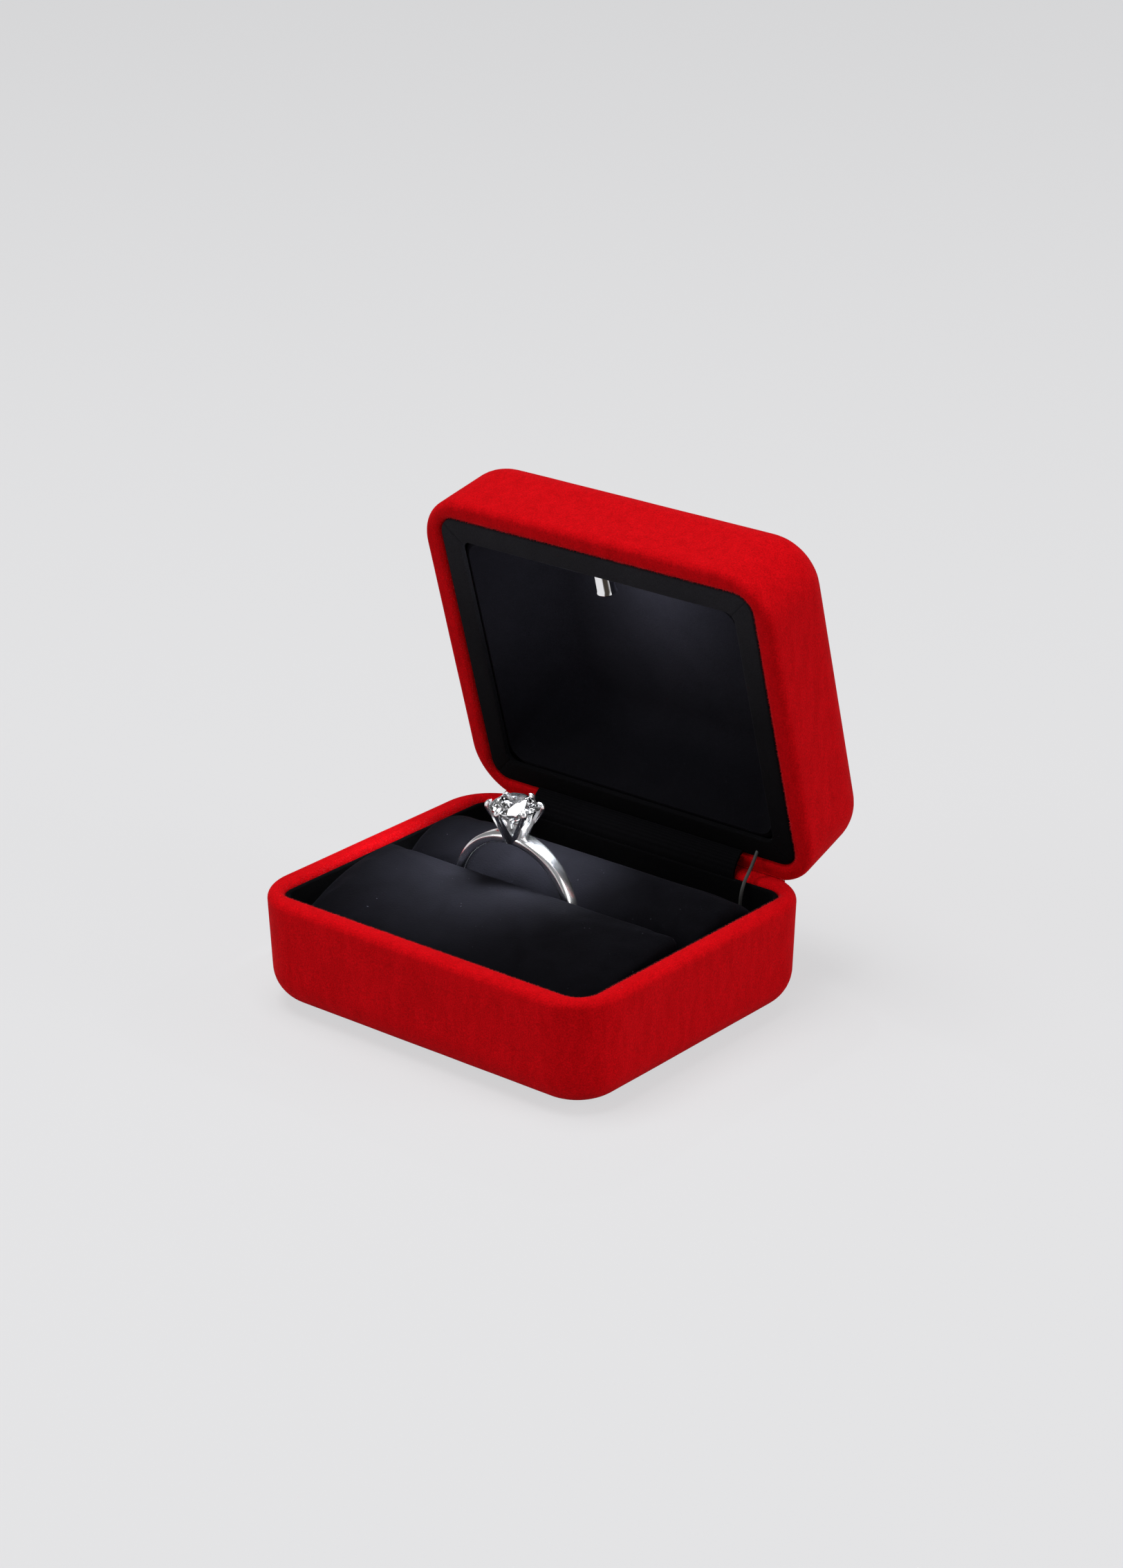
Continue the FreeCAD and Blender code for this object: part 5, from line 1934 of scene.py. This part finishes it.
@dataclass
class Works:
    """CAD pieces that keep their shape and get a finish."""

    finishes: dict[str, Metal | Moulded] = field(
        default_factory=lambda: {
            "base_shell": SHELL, "lid_shell": SHELL, "pad_shelf": HOLDER, "battery_holder": HOLDER,
            "battery_hatch": HOLDER, "switch_body": HOLDER, "circuit_board": BOARD, "resistor": RESISTOR,
            "switch_plunger": PLUNGER, "button_cells": CELL, "contact_bridge": STEEL, "contact_positive": STEEL,
            "contact_negative": STEEL, "hatch_screw": STEEL, "hinge_leaf_base": HINGE, "hinge_leaf_lid": HINGE,
            "hinge_pin": HINGE, "lamp_pins": STEEL, "base_lead": LEAD, "lid_lead": LEAD,
        }
    )

    def build(self) -> list[Object]:
        """Dress the CAD nodes that stay."""
        for node, finish in self.finishes.items():
            Palette.dress(frame["nodes"][node], finish)
        return [frame["nodes"][node] for node in self.finishes]


@dataclass
class Studio:
    """Pale floor, soft light and the camera of the photograph."""

    image_w: float = 1624.0
    image_h: float = 2268.0
    azimuth: float = 40.458
    elevation: float = 22.705
    distance: float = 533.461
    focal_px: float = 5588.969
    centre_px: tuple[float, float] = (766.712, 1155.214)
    roll: float = -0.637
    target: tuple[float, float, float] = (0.0, 0.0, 31.0)
    floor_colour: Colour = (0.5, 0.5, 0.51)
    backdrop: Colour = (0.84, 0.84, 0.85)
    evenness: float = 0.72
    sky: float = 0.2

    def floor(self) -> Object:
        """Wide pale floor."""
        Workpiece.clear_bench()
        bpy.ops.mesh.primitive_plane_add(size=6.0, location=(0, 0, -0.02 * MM))
        floor = bpy.context.object
        floor.name = "studio_floor"
        shader = Shader("pale_floor")
        shader.plain(Base_Color=self.floor_colour, Roughness=0.9)
        even = shader.node("Emission", {"Color": (*self.backdrop, 1.0)}).outputs["Emission"]
        path = shader.node("LightPath", {})
        seen = path.outputs["Is Camera Ray"]
        for kind in ("Is Glossy Ray", "Is Transmission Ray"):
            either = shader.node("Math", {0: seen, 1: path.outputs[kind]})
            either.operation = "MAXIMUM"
            seen = either.outputs["Value"]
        share = shader.node("MapRange", {"To Max": self.evenness, "Value": seen}).outputs["Result"]
        mix = shader.node("MixShader", {"Fac": share, 1: shader.bsdf.outputs["BSDF"], 2: even})
        shader.links.new(mix.outputs["Shader"], shader.nodes["Material Output"].inputs["Surface"])
        floor.data.materials.append(shader.material)
        return floor

    def light(
        self, name: str, place: Sequence[float], size: tuple[float, float], watts: float, aim: Sequence[float]
    ) -> None:
        """Soft lamp.

        Args:
            name: its name.
            place: where it hangs, in metres.
            size: its width and height in metres.
            watts: its power.
            aim: the point that it faces, in metres.
        """
        data = bpy.data.lights.new(name, "AREA")
        data.shape = "RECTANGLE"
        data.size, data.size_y = size
        data.energy = watts
        lamp = bpy.data.objects.new(name, data)
        bpy.context.scene.collection.objects.link(lamp)
        lamp.location = place
        lamp.rotation_euler = (Vector(aim) - Vector(place)).to_track_quat("-Z", "Y").to_euler()

    def lights(self) -> None:
        """Overhead key, two side fills, two narrow strips for the metal and an even sky."""
        middle = (0.0, 0.0, 0.03)
        self.light("key_soft_box", (-0.05, -0.1, 0.8), (0.45, 0.45), 5.6, middle)
        self.light("right_fill", (0.74, 0.3, 0.3), (0.4, 0.4), 2.6, middle)
        self.light("left_fill", (-0.55, -0.62, 0.3), (0.4, 0.4), 1.95, middle)
        self.light("right_strip", (0.74, -0.2, 0.2), (0.1, 0.45), 0.28, middle)
        self.light("front_strip", (0.1, -0.78, 0.2), (0.04, 0.4), 0.1, middle)
        world = bpy.data.worlds.new("studio_sky")
        world.use_nodes = True
        sky = world.node_tree.nodes["Background"]
        sky.inputs["Color"].default_value = (1.0, 1.0, 1.0, 1.0)
        sky.inputs["Strength"].default_value = self.sky
        bpy.context.scene.world = world

    def camera(self) -> None:
        """Camera at the photograph's angle."""
        turn = math.radians(self.azimuth)
        rise = math.radians(self.elevation)
        roll = math.radians(self.roll)
        back = Vector((math.sin(turn) * math.cos(rise), -math.cos(turn) * math.cos(rise), math.sin(rise)))
        right = Vector((0, 0, 1)).cross(back).normalized()
        up = back.cross(right)
        tilted_right = right * math.cos(roll) + up * math.sin(roll)
        tilted_up = up * math.cos(roll) - right * math.sin(roll)
        data = bpy.data.cameras.new("photo_camera")
        data.sensor_width = 36.0
        data.lens = self.focal_px * data.sensor_width / self.image_h
        data.shift_x = (self.image_w / 2 - self.centre_px[0]) / self.image_h
        data.shift_y = (self.centre_px[1] - self.image_h / 2) / self.image_h
        data.clip_start = 0.01
        camera = bpy.data.objects.new("photo_camera", data)
        bpy.context.scene.collection.objects.link(camera)
        axes = Matrix((tilted_right, tilted_up, back)).transposed().to_4x4()
        place = (Vector(self.target) + back * self.distance) * MM
        camera.matrix_world = Matrix.Translation(place) @ axes
        bpy.context.scene.camera = camera

    def build(self) -> list[Object]:
        """Set the stage."""
        self.lights()
        self.camera()
        bpy.context.scene.view_settings.view_transform = "Standard"
        return [self.floor()]


def write_sizes() -> None:
    """Bring the view layer up to date."""
    bpy.context.view_layer.update()


def main() -> None:
    """Build the sub-assemblies in order and report each piece."""
    logging.basicConfig(level=logging.INFO, format="%(message)s")
    assemblies = (
        Studio(), VelvetHalves(), RimPile(), PaddedSlot(), Linings(), HingeCloth(), LidLamp(), SolitaireRing(),
        Underside(), Works(),
    )
    for assembly in assemblies:
        for obj in assembly.build():
            LOG.info("%s: %s, %d faces", type(assembly).__name__, obj.name, len(obj.data.polygons))
    write_sizes()


if __name__ == "__main__":
    main()
